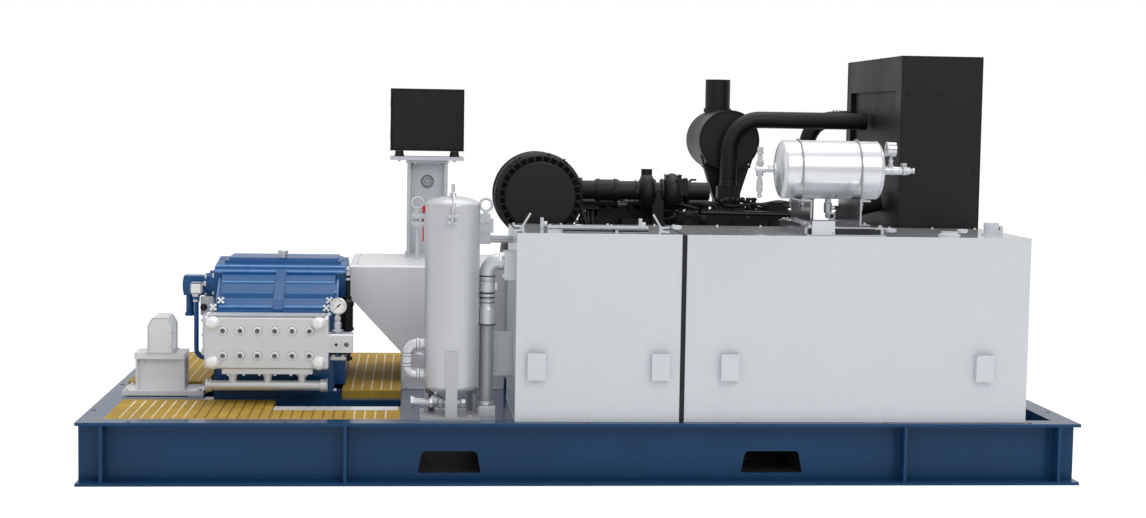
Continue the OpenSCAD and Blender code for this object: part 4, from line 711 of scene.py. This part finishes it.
def water_pieces():
    p = Piece("vessel_weld_seams", "stainless")
    for z in (455, 1321):
        p.ring((*VESSEL, z), "Z", 131.2, 1.6, 6, 72)
    for z in (649, 502):
        p.tube([(VESSEL[0] - sqrt(131**2 - (29*sin(a))**2), VESSEL[1] + 29*sin(a), z + 29*cos(a))
                for a in turns(32)], 2.2, 6, closed=True)

    p = Piece("loop_seams", "socket_grey")
    for z, x in product((649, 502), (-823, -808.5)):
        p.ring((x, -980, z), "X", 26.6, 1.4)
    for z in (607, 593, 558, 544):
        p.ring((-866, -980, z), "Z", 26.6, 1.4)

    # vent pipe over the dome to the small valve on the vessel's front
    p = Piece("vent_pipe", "stainless")
    p.pipe([(-656, -985, 1384), (-654, -1060, 1378), (-652, -1112, 1336), (-657, -1131, 1308),
            (-660, -1131, 1280)], 30, 5.8, 12, 6)
    p.lathe((*VESSEL, 1362), UP, solid((12, 0), (12, 10), (8.8, 12), (8.8, 58), (7.6, 59.5)),
            20)

    p = Piece("vent_valve", "zinc")
    centre = vec(-660, -1131, 1258)
    p.lathe(centre + DOWN*22, UP, disc(9, 44), 6)
    for dx, dz in product((-16, 16), (-15, 15)):
        p.lathe(centre + vec(dx, -6, dz), FRONT, solid((8.5, 0), (9.5, 4), (9.5, 12), (7, 16)), 18)
        p.tube([centre + UP*dz, centre + vec(dx, -2, dz)], 5.5, 10)
    for z in (1240, 1276):
        p.tube([(-660, -1131, z), (-660, -1108, z)], 6, 10)

    p = Piece("foot_ball_valve", "zinc")
    centre = vec(-728, -980, 378)
    bmesh.ops.create_uvsphere(p.bm, u_segments=24, v_segments=14, radius=30,
                              matrix=Matrix.Translation(centre))
    for s in (-1, 1):
        p.lathe(centre + vec(14*s, 0, -11), (s, 0, 0), solid((27.5, 0), (28.5, 3), (28.5, 15),
                (25.5, 18)), 8)
    p.lathe(centre + UP*24, UP, solid((9, 0), (9, 18), (6, 20)), 12)
    p.block(centre + vec(-5, -9, 42), centre + vec(62, 9, 46), 1.5)

    p = Piece("vessel_fittings", "zinc")
    p.lathe((-606, -980, 367), RIGHT, solid((27, 0), (27, 12), (24, 13), (24, 20)), 8)
    p.tube([(-787, -980, 600), (-822, -980, 600)], 7.5, 12)
    p.lathe((-800, -980, 600), LEFT, solid((13, 0), (13, 10), (10.5, 12), (10.5, 22)), 6)
    p.lathe((-838, -980, 367), LEFT, [(16.5, 0), (29, 0), (29, 10), (27, 11.5), (16.5, 11.5)], 8)
    for y, x in product((-1080, -880), (-745, -567)):
        p.bolt((x, y, 308), UP, 10)

    p = Piece("riser_fittings", "zinc")
    p.block((-450, -962, 912), (-438, -938, 948), 2)
    for z in (360, 858, 886, 969):
        p.ring((*RISER, z), "Z", 40.4, 1.4)
    p.bolts(-407, (-1002, -898), (982, 1082), LEFT, 9)
    p.lathe((-421.5, -950, 1050), LEFT, [(38.5, 0), (43.5, 0), (43.5, 6), (38.5, 8)], 8)

    p = Piece("riser_rings", "socket_grey")
    for z in (977, 952, 897, 874, 851):
        p.ring((*RISER, z), "Z", 37.5, 3)
    p.ring((*RISER, 743), "Z", 42.4, 3)

    p = Piece("riser_hose_lines", "hose_grey")
    p.lathe((*RISER, 371.5), UP, [(33.2, 0), (33.8, 2), (33.8, 361), (33.2, 363)], 40)
    for i in range(22):
        p.ring((*RISER, 385 + i*15.5), "Z", 33.4, 1.1, 4, 32)

    p = Piece("tank_side_bars", "light_grey_paint")
    p.block((-466, -884, 675), (-355, -866, 699), 2)
    p.block((-466, -884, 276), (-355, -866, 299.8), 1)
    p.tube([(-466, -880, 490), (-355, -880, 490)], 14, 16)
    p.lathe((-376, -880, 490), LEFT, disc(21, 14), 6)
    p.block((-466, -890, 470), (-452, -866, 700), 2)

    p = Piece("guard_side_plate", "light_grey_paint")
    p.block((-360, -103, 300), (-244, -99, 953), 1)
    p.block((-452, -884, 500), (-355, -878, 675), 1)

    p = Piece("tank_edge_beads", "light_grey_paint")
    for x0, x1 in ((-355, 431), (456, 2135)):
        corners = [(x0 + 1, -1156), (x1 - 1, -1156), (x1 - 1, -361), (x0 + 1, -361)]
        p.tube([(x, y, 1196.5) for x, y in corners], 2.2, 6, closed=True)
        for x, y in corners:
            p.tube([(x, y, 302), (x, y, 1196)], 1.6, 6)
        for x in (x0 + 1, x1 - 1):
            p.tube([(x, -1155, 303), (x, -362, 303)], 3.5, 6)
        for y in (-1155.5, -361.5):
            p.tube([(x0 + 2, y, 303), (x1 - 2, y, 303)], 3.5, 6)

    p = Piece("tank_lid_bolts", "zinc")
    p.bolts(range(-330, 400, 243), -380, 1200, UP, 6)
    p.bolts(range(500, 2097, 228), -380, 1200, UP, 6)
    p.bolts(range(-190, 261, 150), -980, 1227.8, UP, 6)
    p.bolts((-224, 256), -948, 1214, FRONT, 5.5)
    for x, y, z, r in ((493, -532, 1206, 21), (1591, -595, 1206, 21), (1967, -586, 1206, 21),
                       (1774, -1000, 1211, 36)):
        for at in circle((x, y, z), "Z", r, turns(4, 45)):
            p.lathe(at, UP, disc(3.5, 3.5), 8)

    p = Piece("rack_hoses", "black_rubber")
    for x0, x1 in ((-130, 110), (140, 286)):
        p.tube([(x0, -1012, 1206), (x1, -1012, 1206)], 4.2)
    p.lathe((118, -1012, 1201), UP, disc(7, 12), 12)


water_pieces()


# Air receiver

AIR_Y = -780
AIR = (AIR_Y, 1509)
U_BOLTS, U_BEND = (1058, 1351), 149.5


def receiver_pieces():
    p = Piece("receiver_u_bolts", "hose_grey")
    for x in U_BOLTS:
        arc = circle((x, *AIR), "X", U_BEND, [radians(-8 + 196*k/40) for k in range(41)])
        p.tube([(x, AIR_Y + U_BEND, 1316), *arc, (x, AIR_Y - U_BEND, 1316)], 4.6, 12)

    p = Piece("u_bolt_nuts", "zinc")
    for x, y in product(U_BOLTS, (AIR_Y - U_BEND, AIR_Y + U_BEND)):
        for z in (1341, 1362):
            p.lathe((x, y, z), UP, disc(8.5, 8), 6)
        p.lathe((x, y, 1368.2), UP, disc(12, 2), 16)

    p = Piece("receiver_seams", "stainless")
    for x in (984, 1451):
        p.ring((x, *AIR), "X", 145.3, 1.5, 6, 80)
    for x, s in ((949, -1), (1486, 1)):
        p.lathe((x, *AIR), (s, 0, 0), solid((29, 0), (29, 10), (26, 12.5)), 8)

    # hexagon unions along the valve column and the gauge pipe
    p = Piece("air_unions", "zinc")
    for z, r, h in ((1366, 12.5, 16), (1392, 15.5, 12), (1412, 18.5, 26), (1446, 14, 12),
                    (1470, 16.5, 14), (1541, 16.5, 14), (1562, 13.5, 12), (1582, 17, 12),
                    (1602, 15.5, 15)):
        p.lathe((868, AIR_Y, z), UP, disc(r, h), 6, spin=random.random())
    for x, r, w in ((890, 16.5, 12), (908, 20, 16), (930, 17, 10), (1500, 23.5, 12),
                    (1520, 24, 20), (1549, 21, 12), (1568, 22.5, 16), (1591, 23.5, 20),
                    (1616, 20, 10)):
        p.lathe((x, *AIR), RIGHT, disc(r, w), 6)
    p.lathe((1530, AIR_Y, 1529), UP, solid((16, 0), (16, 8), (11.5, 10), (11.5, 26), (13, 28),
            (13, 34), (8.5, 36), (8.5, 46)), 8)
    p.lathe((1627, *AIR), RIGHT, solid((14, 0), (11, 12), (15, 16), (15, 22)), 16)
    p.lathe((1216, AIR_Y, 1352), UP, disc(16.5, 9), 6)
    p.lathe((1216, AIR_Y, 1336), UP, solid((21.5, 0), (21.5, 5), (18, 7), (18, 12)), 8)
    p.lathe((1216, AIR_Y, 1293), UP, disc(19.5, 9), 8)

    # dark disc in the drain elbow's mouth: painted shade inside the pipe
    p = Piece("drain_mouth", "ink_and_hole_shade")
    p.lathe((1226, -826.4, 1280), FRONT, disc(10.5, 0.8), 24)

    p = Piece("mouth_and_dial_rings", "stainless")
    p.ring((1226, -827, 1280), "Y", 16, 3.5, 8, 28)
    p.ring((1507, AIR_Y, 1615), "X", 35.5, 2.8, 8, 36)

    p = Piece("cradle_bolts", "zinc")
    p.bolts((1060, 1402), (-1098, -462), 1242, UP, 9)
    p.bolts((1056, 1353), (-985, -575), 1250, UP, 8)
    for z, x in product((1216, 1258), (1070, 1162)):
        p.bolt((x, -1135, z), FRONT, 4.5, washer=False)

    p = Piece("cradle_front_plate", "light_grey_paint")
    p.block((1060.5, -1137.5, 1202.5), (1171.5, -1134.8, 1271.5), 1)

    # dark plate across the base's front channel mouth: painted shade of the channel's inside
    p = Piece("cradle_dark_plate", "dark_steel", slot="black_paint")
    p.block((1174, -1136.2, 1208), (1396, -1134.4, 1233), 0.6)
    p.bolts((1268, 1310), -1136, 1220, FRONT, 4, washer=False)


receiver_pieces()


# Engine

FILTER_X, FILTER_Z = -189, 1335
TURBO = (75, 1362)
FAN = vec(1556, 250, 850)


def rim_places(angles, y, r):
    """Outward and sideways directions and the place, at angles around the air filter."""
    for a in map(radians, angles):
        out, side = vec(cos(a), 0, sin(a)), vec(-sin(a), 0, cos(a))
        yield out, side, vec(FILTER_X, y, FILTER_Z) + out*r


def engine_pieces():
    # air filter: screws, band and clips around the rim
    p = Piece("filter_clips", "black_paint")
    angles = (78, 118, 135, 172, 184, 232, 300, 345, 20, 52)
    for out, side, at in rim_places(angles, -228, 221):
        p.tube([at - side*12, at + out*10, at + side*12], 2.8)
        p.tube([at + out*3 + FRONT*22, at + out*3 + BACK*30], 3.5)
    for out, side, at in rim_places((57, 124, 178), -258, 216):
        p.tube([at - side*14, at + out*19, at + side*14], 4.2)
    p.ring((FILTER_X, -252, FILTER_Z), "Y", 217.5, 2.2, 6, 80)
    p.ring((FILTER_X, -287, FILTER_Z), "Y", 217, 1.8, 6, 80)
    p.ring((FILTER_X, -296, FILTER_Z), "Y", 176.5, 1.6, 6, 72)
    for y in (-120, 85, 160):
        p.ring((FILTER_X, y, FILTER_Z), "Y", 224.8, 3, 6, 72)
    for y, r in ((111, 150), (124, 60)):
        p.lathe((FILTER_X, y, FILTER_Z), BACK, solid((r, 0), (r - 8, 6)), 40)

    # black annulus down in the air filter's slots: painted shade that makes them dark
    p = Piece("filter_slot_shade", "slot_shade_black")
    p.lathe((FILTER_X, -287, FILTER_Z), BACK, [(179, 0), (211.5, 0), (211.5, 2), (179, 2),
            (179, 0)], 64)

    # hose clamps, compressor and turbine bolts, clamp band, oil pipes
    p = Piece("turbo_fasteners", "dark_steel")
    for x, r in ((237, 62.8), (352, 57.5)):
        p.ring((x, *TURBO), "X", r, 2.2)
        p.block((x - 7, 6, 1352), (x + 7, 14, 1374), 1)
        p.tube([(x, 9, 1346), (x, 9, 1382)], 2.8)
    faces = circle((457, *TURBO), "X", 55, turns(10)), circle((490, *TURBO), "X", 57, turns(10))
    for cold, hot in zip(*faces):
        p.bolt(cold, RIGHT, 5)
        p.bolt(hot, LEFT, 4.8)
    p.bolts((515, 555, 595), (42, 108), 1446, UP, 5.5)
    for x in (618, 630):
        p.ring((x, *TURBO), "X", 70.5, 2.8)
    p.tube([(624, -2, 1340), (624, -2, 1384)], 4)

    p = Piece("turbo_pipes", "engine_black")
    p.block((570, -8, 1340), (620, 28, 1422), 5)
    p.block((566, -12, 1418), (626, 34, 1431), 3)
    p.tube([(596, 10, 1296), (596, 10, 1340)], 6, 10)
    # exhaust manifold and its lagged runners behind the turbocharger
    for x0, x1 in ((62, 270), (322, 770)):
        p.tube([(x0, 190, 1284), (x1, 190, 1284)], 26, 16)
        for x in range(x0 + 22, x1 - 10, 68):
            p.block((x - 21, 168, 1248), (x + 21, 214, 1300), 6)
    p.pipe([(470, 75, 1320), (470, 60, 1230), (520, 20, 1160)], 40, 12, 10)
    p.pipe([(560, 30, 1300), (600, -20, 1290), (690, -30, 1270), (700, 30, 1245)], 30, 8, 10)
    p.pipe([(650, 75, 1400), (650, 75, 1424), (684, 75, 1424)], 12, 6, 10)

    p = Piece("head_bolts", "dark_steel")
    for x0 in range(0, 1026, 205):
        for y, x in product((122, 336), (96, 224)):
            p.bolt((x0 + x, y, 1205), UP, 8.5)
        p.bolts((x0 + 92, x0 + 160, x0 + 228), 104, 1135, FRONT, 7)
    p.bolts((190, 350, 510), (210, 320), 1275, UP, 7.5)
    p.bolts((740, 850, 960, 1070, 1180, 1250), (150, 320), 1248, UP, 7.5)
    p.lathe((985, 130, 1215), FRONT, solid((14, 0), (14, 4), (9, 6)), 24)

    p = Piece("injector_lines", "engine_black")
    rng = random.Random(11)
    for x in range(95, 1174, 98):
        top = 1262 + rng.uniform(-6, 22)
        y0 = 372 + rng.uniform(-18, 18)
        p.pipe([(x, y0, 1180), (x, y0, top), (x + 34, y0 - 22, top + 6),
                (x + 58, y0 - 30, top - 8), (x + 66, y0 - 34, 1190)], 18, 7.5, 10)
        p.lathe((x, y0, 1205), UP, solid((17, 0), (17, 18), (13, 22), (13, 40)), 6)
    for y, z, amp in ((392, 1290, 8), (352, 1278, 6), (410, 1268, 9)):
        p.tube([(70 + 20.5*k, y + amp*sin(k*0.7), z + amp*sin(k*0.55 + y)) for k in range(61)],
               8.5, 8)
    for i in range(9):
        x = 130 + i*135
        p.block((x, 340, 1180), (x + 48 + 10*(i % 3), 384, 1244 + 9*(i % 4)), 4)
    for x in range(190, 1211, 170):
        p.lathe((x, 402, 1230), UP, solid((24, 0), (24, 30), (16, 34), (16, 52)), 20)

    # box group between turbocharger and charge air foot
    p = Piece("engine_top_parts", "engine_black")
    p.block((574, 40, 1150), (702, 126, 1246), 14)
    p.lathe((640, 42, 1200), FRONT, solid((44, 0), (44, 10), (36, 16), (30, 16), (24, 10)), 28)
    p.lathe((724, 50, 1212), FRONT, solid((22, 0), (22, 14), (16, 18)), 20)
    p.block((706, 60, 1160), (742, 126, 1232), 6)
    for x in (560, 584):
        p.pipe([(x, 60, 1236), (x - 22, 50, 1262), (x - 60, 60, 1250)], 20, 10, 10)
    p.pipe([(530, 70, 1150), (530, 30, 1215), (572, 30, 1228)], 30, 13, 12)
    # clamp and lugs at the charge pipe's foot
    for x, z in ((846, 1308), (872, 1296), (902, 1302), (934, 1308), (962, 1302), (990, 1308)):
        p.lathe((x, 352, z), FRONT, solid((15, 0), (15, 12), (9, 16)), 16)
    p.block((822, 356, 1200), (1010, 420, 1284), 8)
    p.lathe((900, 356, 1290), FRONT, solid((30, 0), (30, 10), (21, 14), (21, 6)), 28)
    for x in (1030, 1062):
        p.tube([(x, 390, 1220), (x, 390, 1318)], 13, 12)
    p.block((1020, 372, 1302), (1078, 402, 1316), 3)
    # small housing at the right rear of the block
    p.block((1108, 220, 1240), (1226, 330, 1292), 10)
    p.lathe((1166, 275, 1290), UP, solid((42, 0), (42, 10), (34, 14)), 28)
    p.pipe([(1226, 280, 1272), (1270, 280, 1290), (1300, 280, 1260)], 20, 12, 12)
    p.tube([(1282, 300, 1240), (1282, 300, 1330)], 8, 10)
    # fuel rail and small pieces right of the air filter
    for x in (64, 96, 122):
        p.lathe((x, 90, 1150), UP, solid((20, 0), (20, 60), (12, 72), (12, 110), (16, 112),
                (16, 126)), 16)
    p.pipe([(60, 60, 1280), (60, 10, 1240), (80, -10, 1180), (110, 10, 1120)], 40, 16, 12)
    p.pipe([(50, 80, 1262), (150, 80, 1262), (168, 90, 1240)], 20, 10, 10)

    p = Piece("engine_cover_seams", "dark_steel")
    p.block((160, 226, 1275), (540, 345, 1279), 2)
    p.block((712, 120, 1248), (1267, 345, 1251), 1.5)
    p.tube([(498, 120, 1246), (1300, 120, 1238)], 6)
    p.block((715, 118, 1180), (1262, 124, 1186), 1)

    p = Piece("charge_pipe_clamps", "dark_steel")
    for x, y, z, r in ((1658, 404, 1755, 51.5), (1620, 795, 1766, 53), (1600, 795, 1766, 53)):
        p.ring((x, y, z), "X", r, 2.4)
    for z in (1388, 1404):
        p.ring((916, 404, z), "Z", 48.5, 2.4)
    p.bolts((866, 966), (372, 424), 1380, UP, 6)

    p = Piece("coolant_hoses", "black_rubber")
    p.pipe([(1694, 60, 1330), (1560, 60, 1300), (1470, 120, 1160), (1400, 200, 1080),
            (1330, 230, 1080)], 120, 62, 24, 8)
    p.pipe([(1694, 470, 640), (1620, 470, 640), (1560, 420, 700), (1500, 380, 760)], 80, 45, 20, 8)

    p = Piece("fan_blades", "dark_steel")
    p.lathe(FAN + LEFT*36, RIGHT, solid((80, 0), (90, 20), (90, 60), (50, 75)), 32)
    # each blade runs through three sections: distance from the axis, half width, half twist
    thick = RIGHT*2.5
    for a in turns(9):
        out = BACK*cos(a) + UP*sin(a)
        side = UP*cos(a) - BACK*sin(a)
        rows = []
        for r, width, twist in ((70, 45, 28), (170, 55, 22), (275, 62, 16)):
            middle = FAN + out*r
            reach = side*width + RIGHT*twist
            rows.append(p.points((middle + reach - thick, middle - reach - thick,
                                  middle - reach + thick, middle + reach + thick)))
        for low, high in zip(rows, rows[1:]):
            for i in range(4):
                j = (i + 1) % 4
                p.face((low[i], low[j], high[j], high[i]))
        p.face(rows[0][::-1])
        p.face(rows[-1])


engine_pieces()


def side_details():
    """Parts on the block's rear side and the radiator, seen from behind."""
    p = Piece("block_bolts", "dark_steel")
    for x in range(20, 1171, 230):
        for s in (-1, 1):
            for dz, dx in product((-74, 74), (-64, 64)):
                p.bolt((x + dx, 250 + s*268, 930 + dz), (0, s, 0), 8)
    for s in (-1, 1):
        p.bolts(range(-200, 1301, 100), 250 + s*250, 612, (0, s, 0), 7)

    # alternator, two oil filters, starter and pipes on the rear side
    p = Piece("rear_side_units", "engine_black")
    p.lathe((1150, 640, 830), RIGHT, solid((60, 0), (82, 12), (85, 50), (85, 120), (78, 135),
            (40, 145), (40, 175), (50, 177), (50, 200)), 36)
    p.block((1180, 512, 800), (1270, 570, 860), 6)
    for x in (700, 830):
        p.lathe((x, 600, 470), UP, solid((46, 0), (54, 10), (54, 210), (50, 225), (50, 240)), 32)
    p.block((640, 510, 705), (890, 656, 760), 10)
    p.lathe((-60, 620, 620), RIGHT, solid((50, 0), (58, 15), (58, 200), (45, 220), (45, 260)), 32)
    p.block((-20, 505, 590), (120, 570, 650), 8)
    p.lathe((0, 690, 690), RIGHT, disc(28, 130), 24)
    p.block((10, 630, 660), (120, 690, 672), 3)
    for x in range(60, 1086, 205):
        p.pipe([(x, 528, 1010), (x, 560, 1040), (x, 500, 1120)], 30, 11, 10)
    p.tube([(20, 560, 1036), (1140, 560, 1036)], 20, 16)
    p.pipe([(760, 640, 735), (760, 700, 780), (760, 640, 900), (700, 560, 960)], 50, 16, 12)
    p.pipe([(1240, 640, 760), (1320, 620, 700), (1380, 520, 640)], 60, 14, 12)

    p = Piece("dipstick", "grating_yellow")
    p.pipe([(430, 512, 700), (430, 560, 760), (430, 570, 1000), (430, 520, 1090)], 30, 6, 8)
    p.ring((430, 520, 1106), "Y", 14, 3, 6, 20)

    # radiator: fins behind the right opening, bars, frame lip, edges, bolts and cap
    p = Piece("radiator_fins", "dark_steel", slot="black_paint")
    for z in range(466, 1937, 10):
        p.block((2102.5, -246, z), (2109.5, 756, z + 3))
    for y in range(-238, 753, 30):
        p.tube([(2105.5, y, 462), (2105.5, y, 1948)], 4.5, 6)

    p = Piece("radiator_trim", "black_paint")
    for z in (790, 1120, 1450, 1780):
        p.block((2104, -250, z), (2123, 760, z + 16), 2)
    for y in (80, 420):
        p.block((2104, y, 460), (2122, y + 14, 1950), 2)
    p.tube([(2125.5, y, z) for y, z in ((-256, 454), (766, 454), (766, 1956), (-256, 1956))],
           4, 6, closed=True)
    for x, y in product((1695, 2125), (-340, 850)):
        p.tube([(x, y, 302), (x, y, 2096)], 2.8, 6)
    for y, s in ((-340, -1), (850, 1)):
        p.tube([(1697, y, 2097), (2123, y, 2097)], 2.8, 6)
        for z in (700, 1100, 1500, 1900):
            p.bolts((1725, 1910, 2095), y, z, (0, s, 0), 6.5)
    for x in (1695, 2125):
        p.tube([(x, -338, 2097), (x, 848, 2097)], 2.8, 6)
    p.lathe((1910, 255, 2092), UP, solid((50, 0), (50, 4), (34, 6), (34, 7.5)), 32)

    p = Piece("muffler_straps", "dark_steel")
    for y in (470, 960):
        p.ring((930, y, 1636), "Y", 169.8, 2, 6, 72)
    for s in (-1, 1):
        p.tube([(930 + s*128, 533, 1490), (930 + s*150, 533, 1555)], 6)
        p.block((930 + s*128 - 8, 530, 1480), (930 + s*128 + 8, 610, 1496), 2)
        p.bolt((930 + s*96, 535, 1450), FRONT, 8)


side_details()


# Base frame and gratings

REAR_GRATINGS = ((-2320, -1913, -108, 1082), (-1200, -900, -417, 1082))
REAR_TOP, FRONT_TOP, BASE_TOP = 338, 300, 300
PITCH_X, PITCH_Y = 50, 38


def slot_places(x0, x1):
    """Middles of a grating's slots between two edges."""
    count = int((x1 - x0 - 44)//PITCH_X)
    first = (x0 + x1)/2 - (count - 1)*PITCH_X/2
    return [first + i*PITCH_X for i in range(count)]


def base_pieces():
    # pale strips down in the slots, a painted light of the lit ground seen through them; the
    # ground under the pump is in shade, so the strips of the slots above it are a painted shade in
    # brown
    p = Piece("slot_strips", "slot_lit_ground")
    shaded = Piece("slot_strips_shaded", "slot_shaded_ground")
    for x0, x1, y0, y1 in REAR_GRATINGS:
        for x in slot_places(x0, x1):
            p.block((x - 4.8, y0 + 24, REAR_TOP - 8), (x + 4.8, y1 - 24, REAR_TOP - 1.5))
    for x in slot_places(-2288, -900):
        back = -508 if x < -1532 else -728
        strip = shaded if -1880 < x < -1125 else p
        strip.block((x - 4.8, -1064, FRONT_TOP - 9), (x + 4.8, back, FRONT_TOP - 1.5))

    p = Piece("grating_ribs", "grating_yellow")
    for x0, x1, y0, y1 in REAR_GRATINGS:
        for i in range(int((y1 - y0 - 60)//PITCH_Y)):
            y = y0 + 40 + i*PITCH_Y
            p.block((x0 + 8, y, REAR_TOP - 0.5), (x1 - 8, y + 3, REAR_TOP + 0.7))
    for y in range(-1050, -745, PITCH_Y):
        p.block((-2280, y, FRONT_TOP - 0.5), (-908, y + 3, FRONT_TOP + 0.7))

    # dark discs on the flange's bolt holes: painted shade of the holes
    p = Piece("flange_holes", "dark_gap")
    holes = [*product((-2158, -1438, -2, 718, 1433, 2151), (-1172, 1172)),
             *product((-2372, 2364), (-831, 32, 850))]
    for x, y in holes:
        p.lathe((x, y, BASE_TOP), UP, disc(12.5, 0.5), 24)

    p = Piece("base_weld_beads", "frame_blue")
    for z in (17, 283):
        for y in (-1101, 1101):
            p.tube([(-2394, y, z), (2394, y, z)], 3.5, 6)
        for x in (-2301, 2301):
            p.tube([(x, -1084, z), (x, 1084, z)], 3.5, 6)
    for y in (-1101, 1101):
        for x, dx in product((-2283, -1154, 1534, 2298), (-9, 9)):
            p.tube([(x + dx, y, 18), (x + dx, y, 282)], 3.2, 6)

    p = Piece("trench_edge", "frame_blue")
    p.block((-1527, -495.8, 262), (-900, -493.8, 300.4))
    p.block((-1527, -493.8, 299.9), (-900, -482, 300.6))

    p = Piece("trench_plate", "guard_grey")
    p.block((-1518, -816, 299.4), (-910, -704, 301.4))


base_pieces()


# Hand over


for piece in PIECES:
    piece.hand_over()
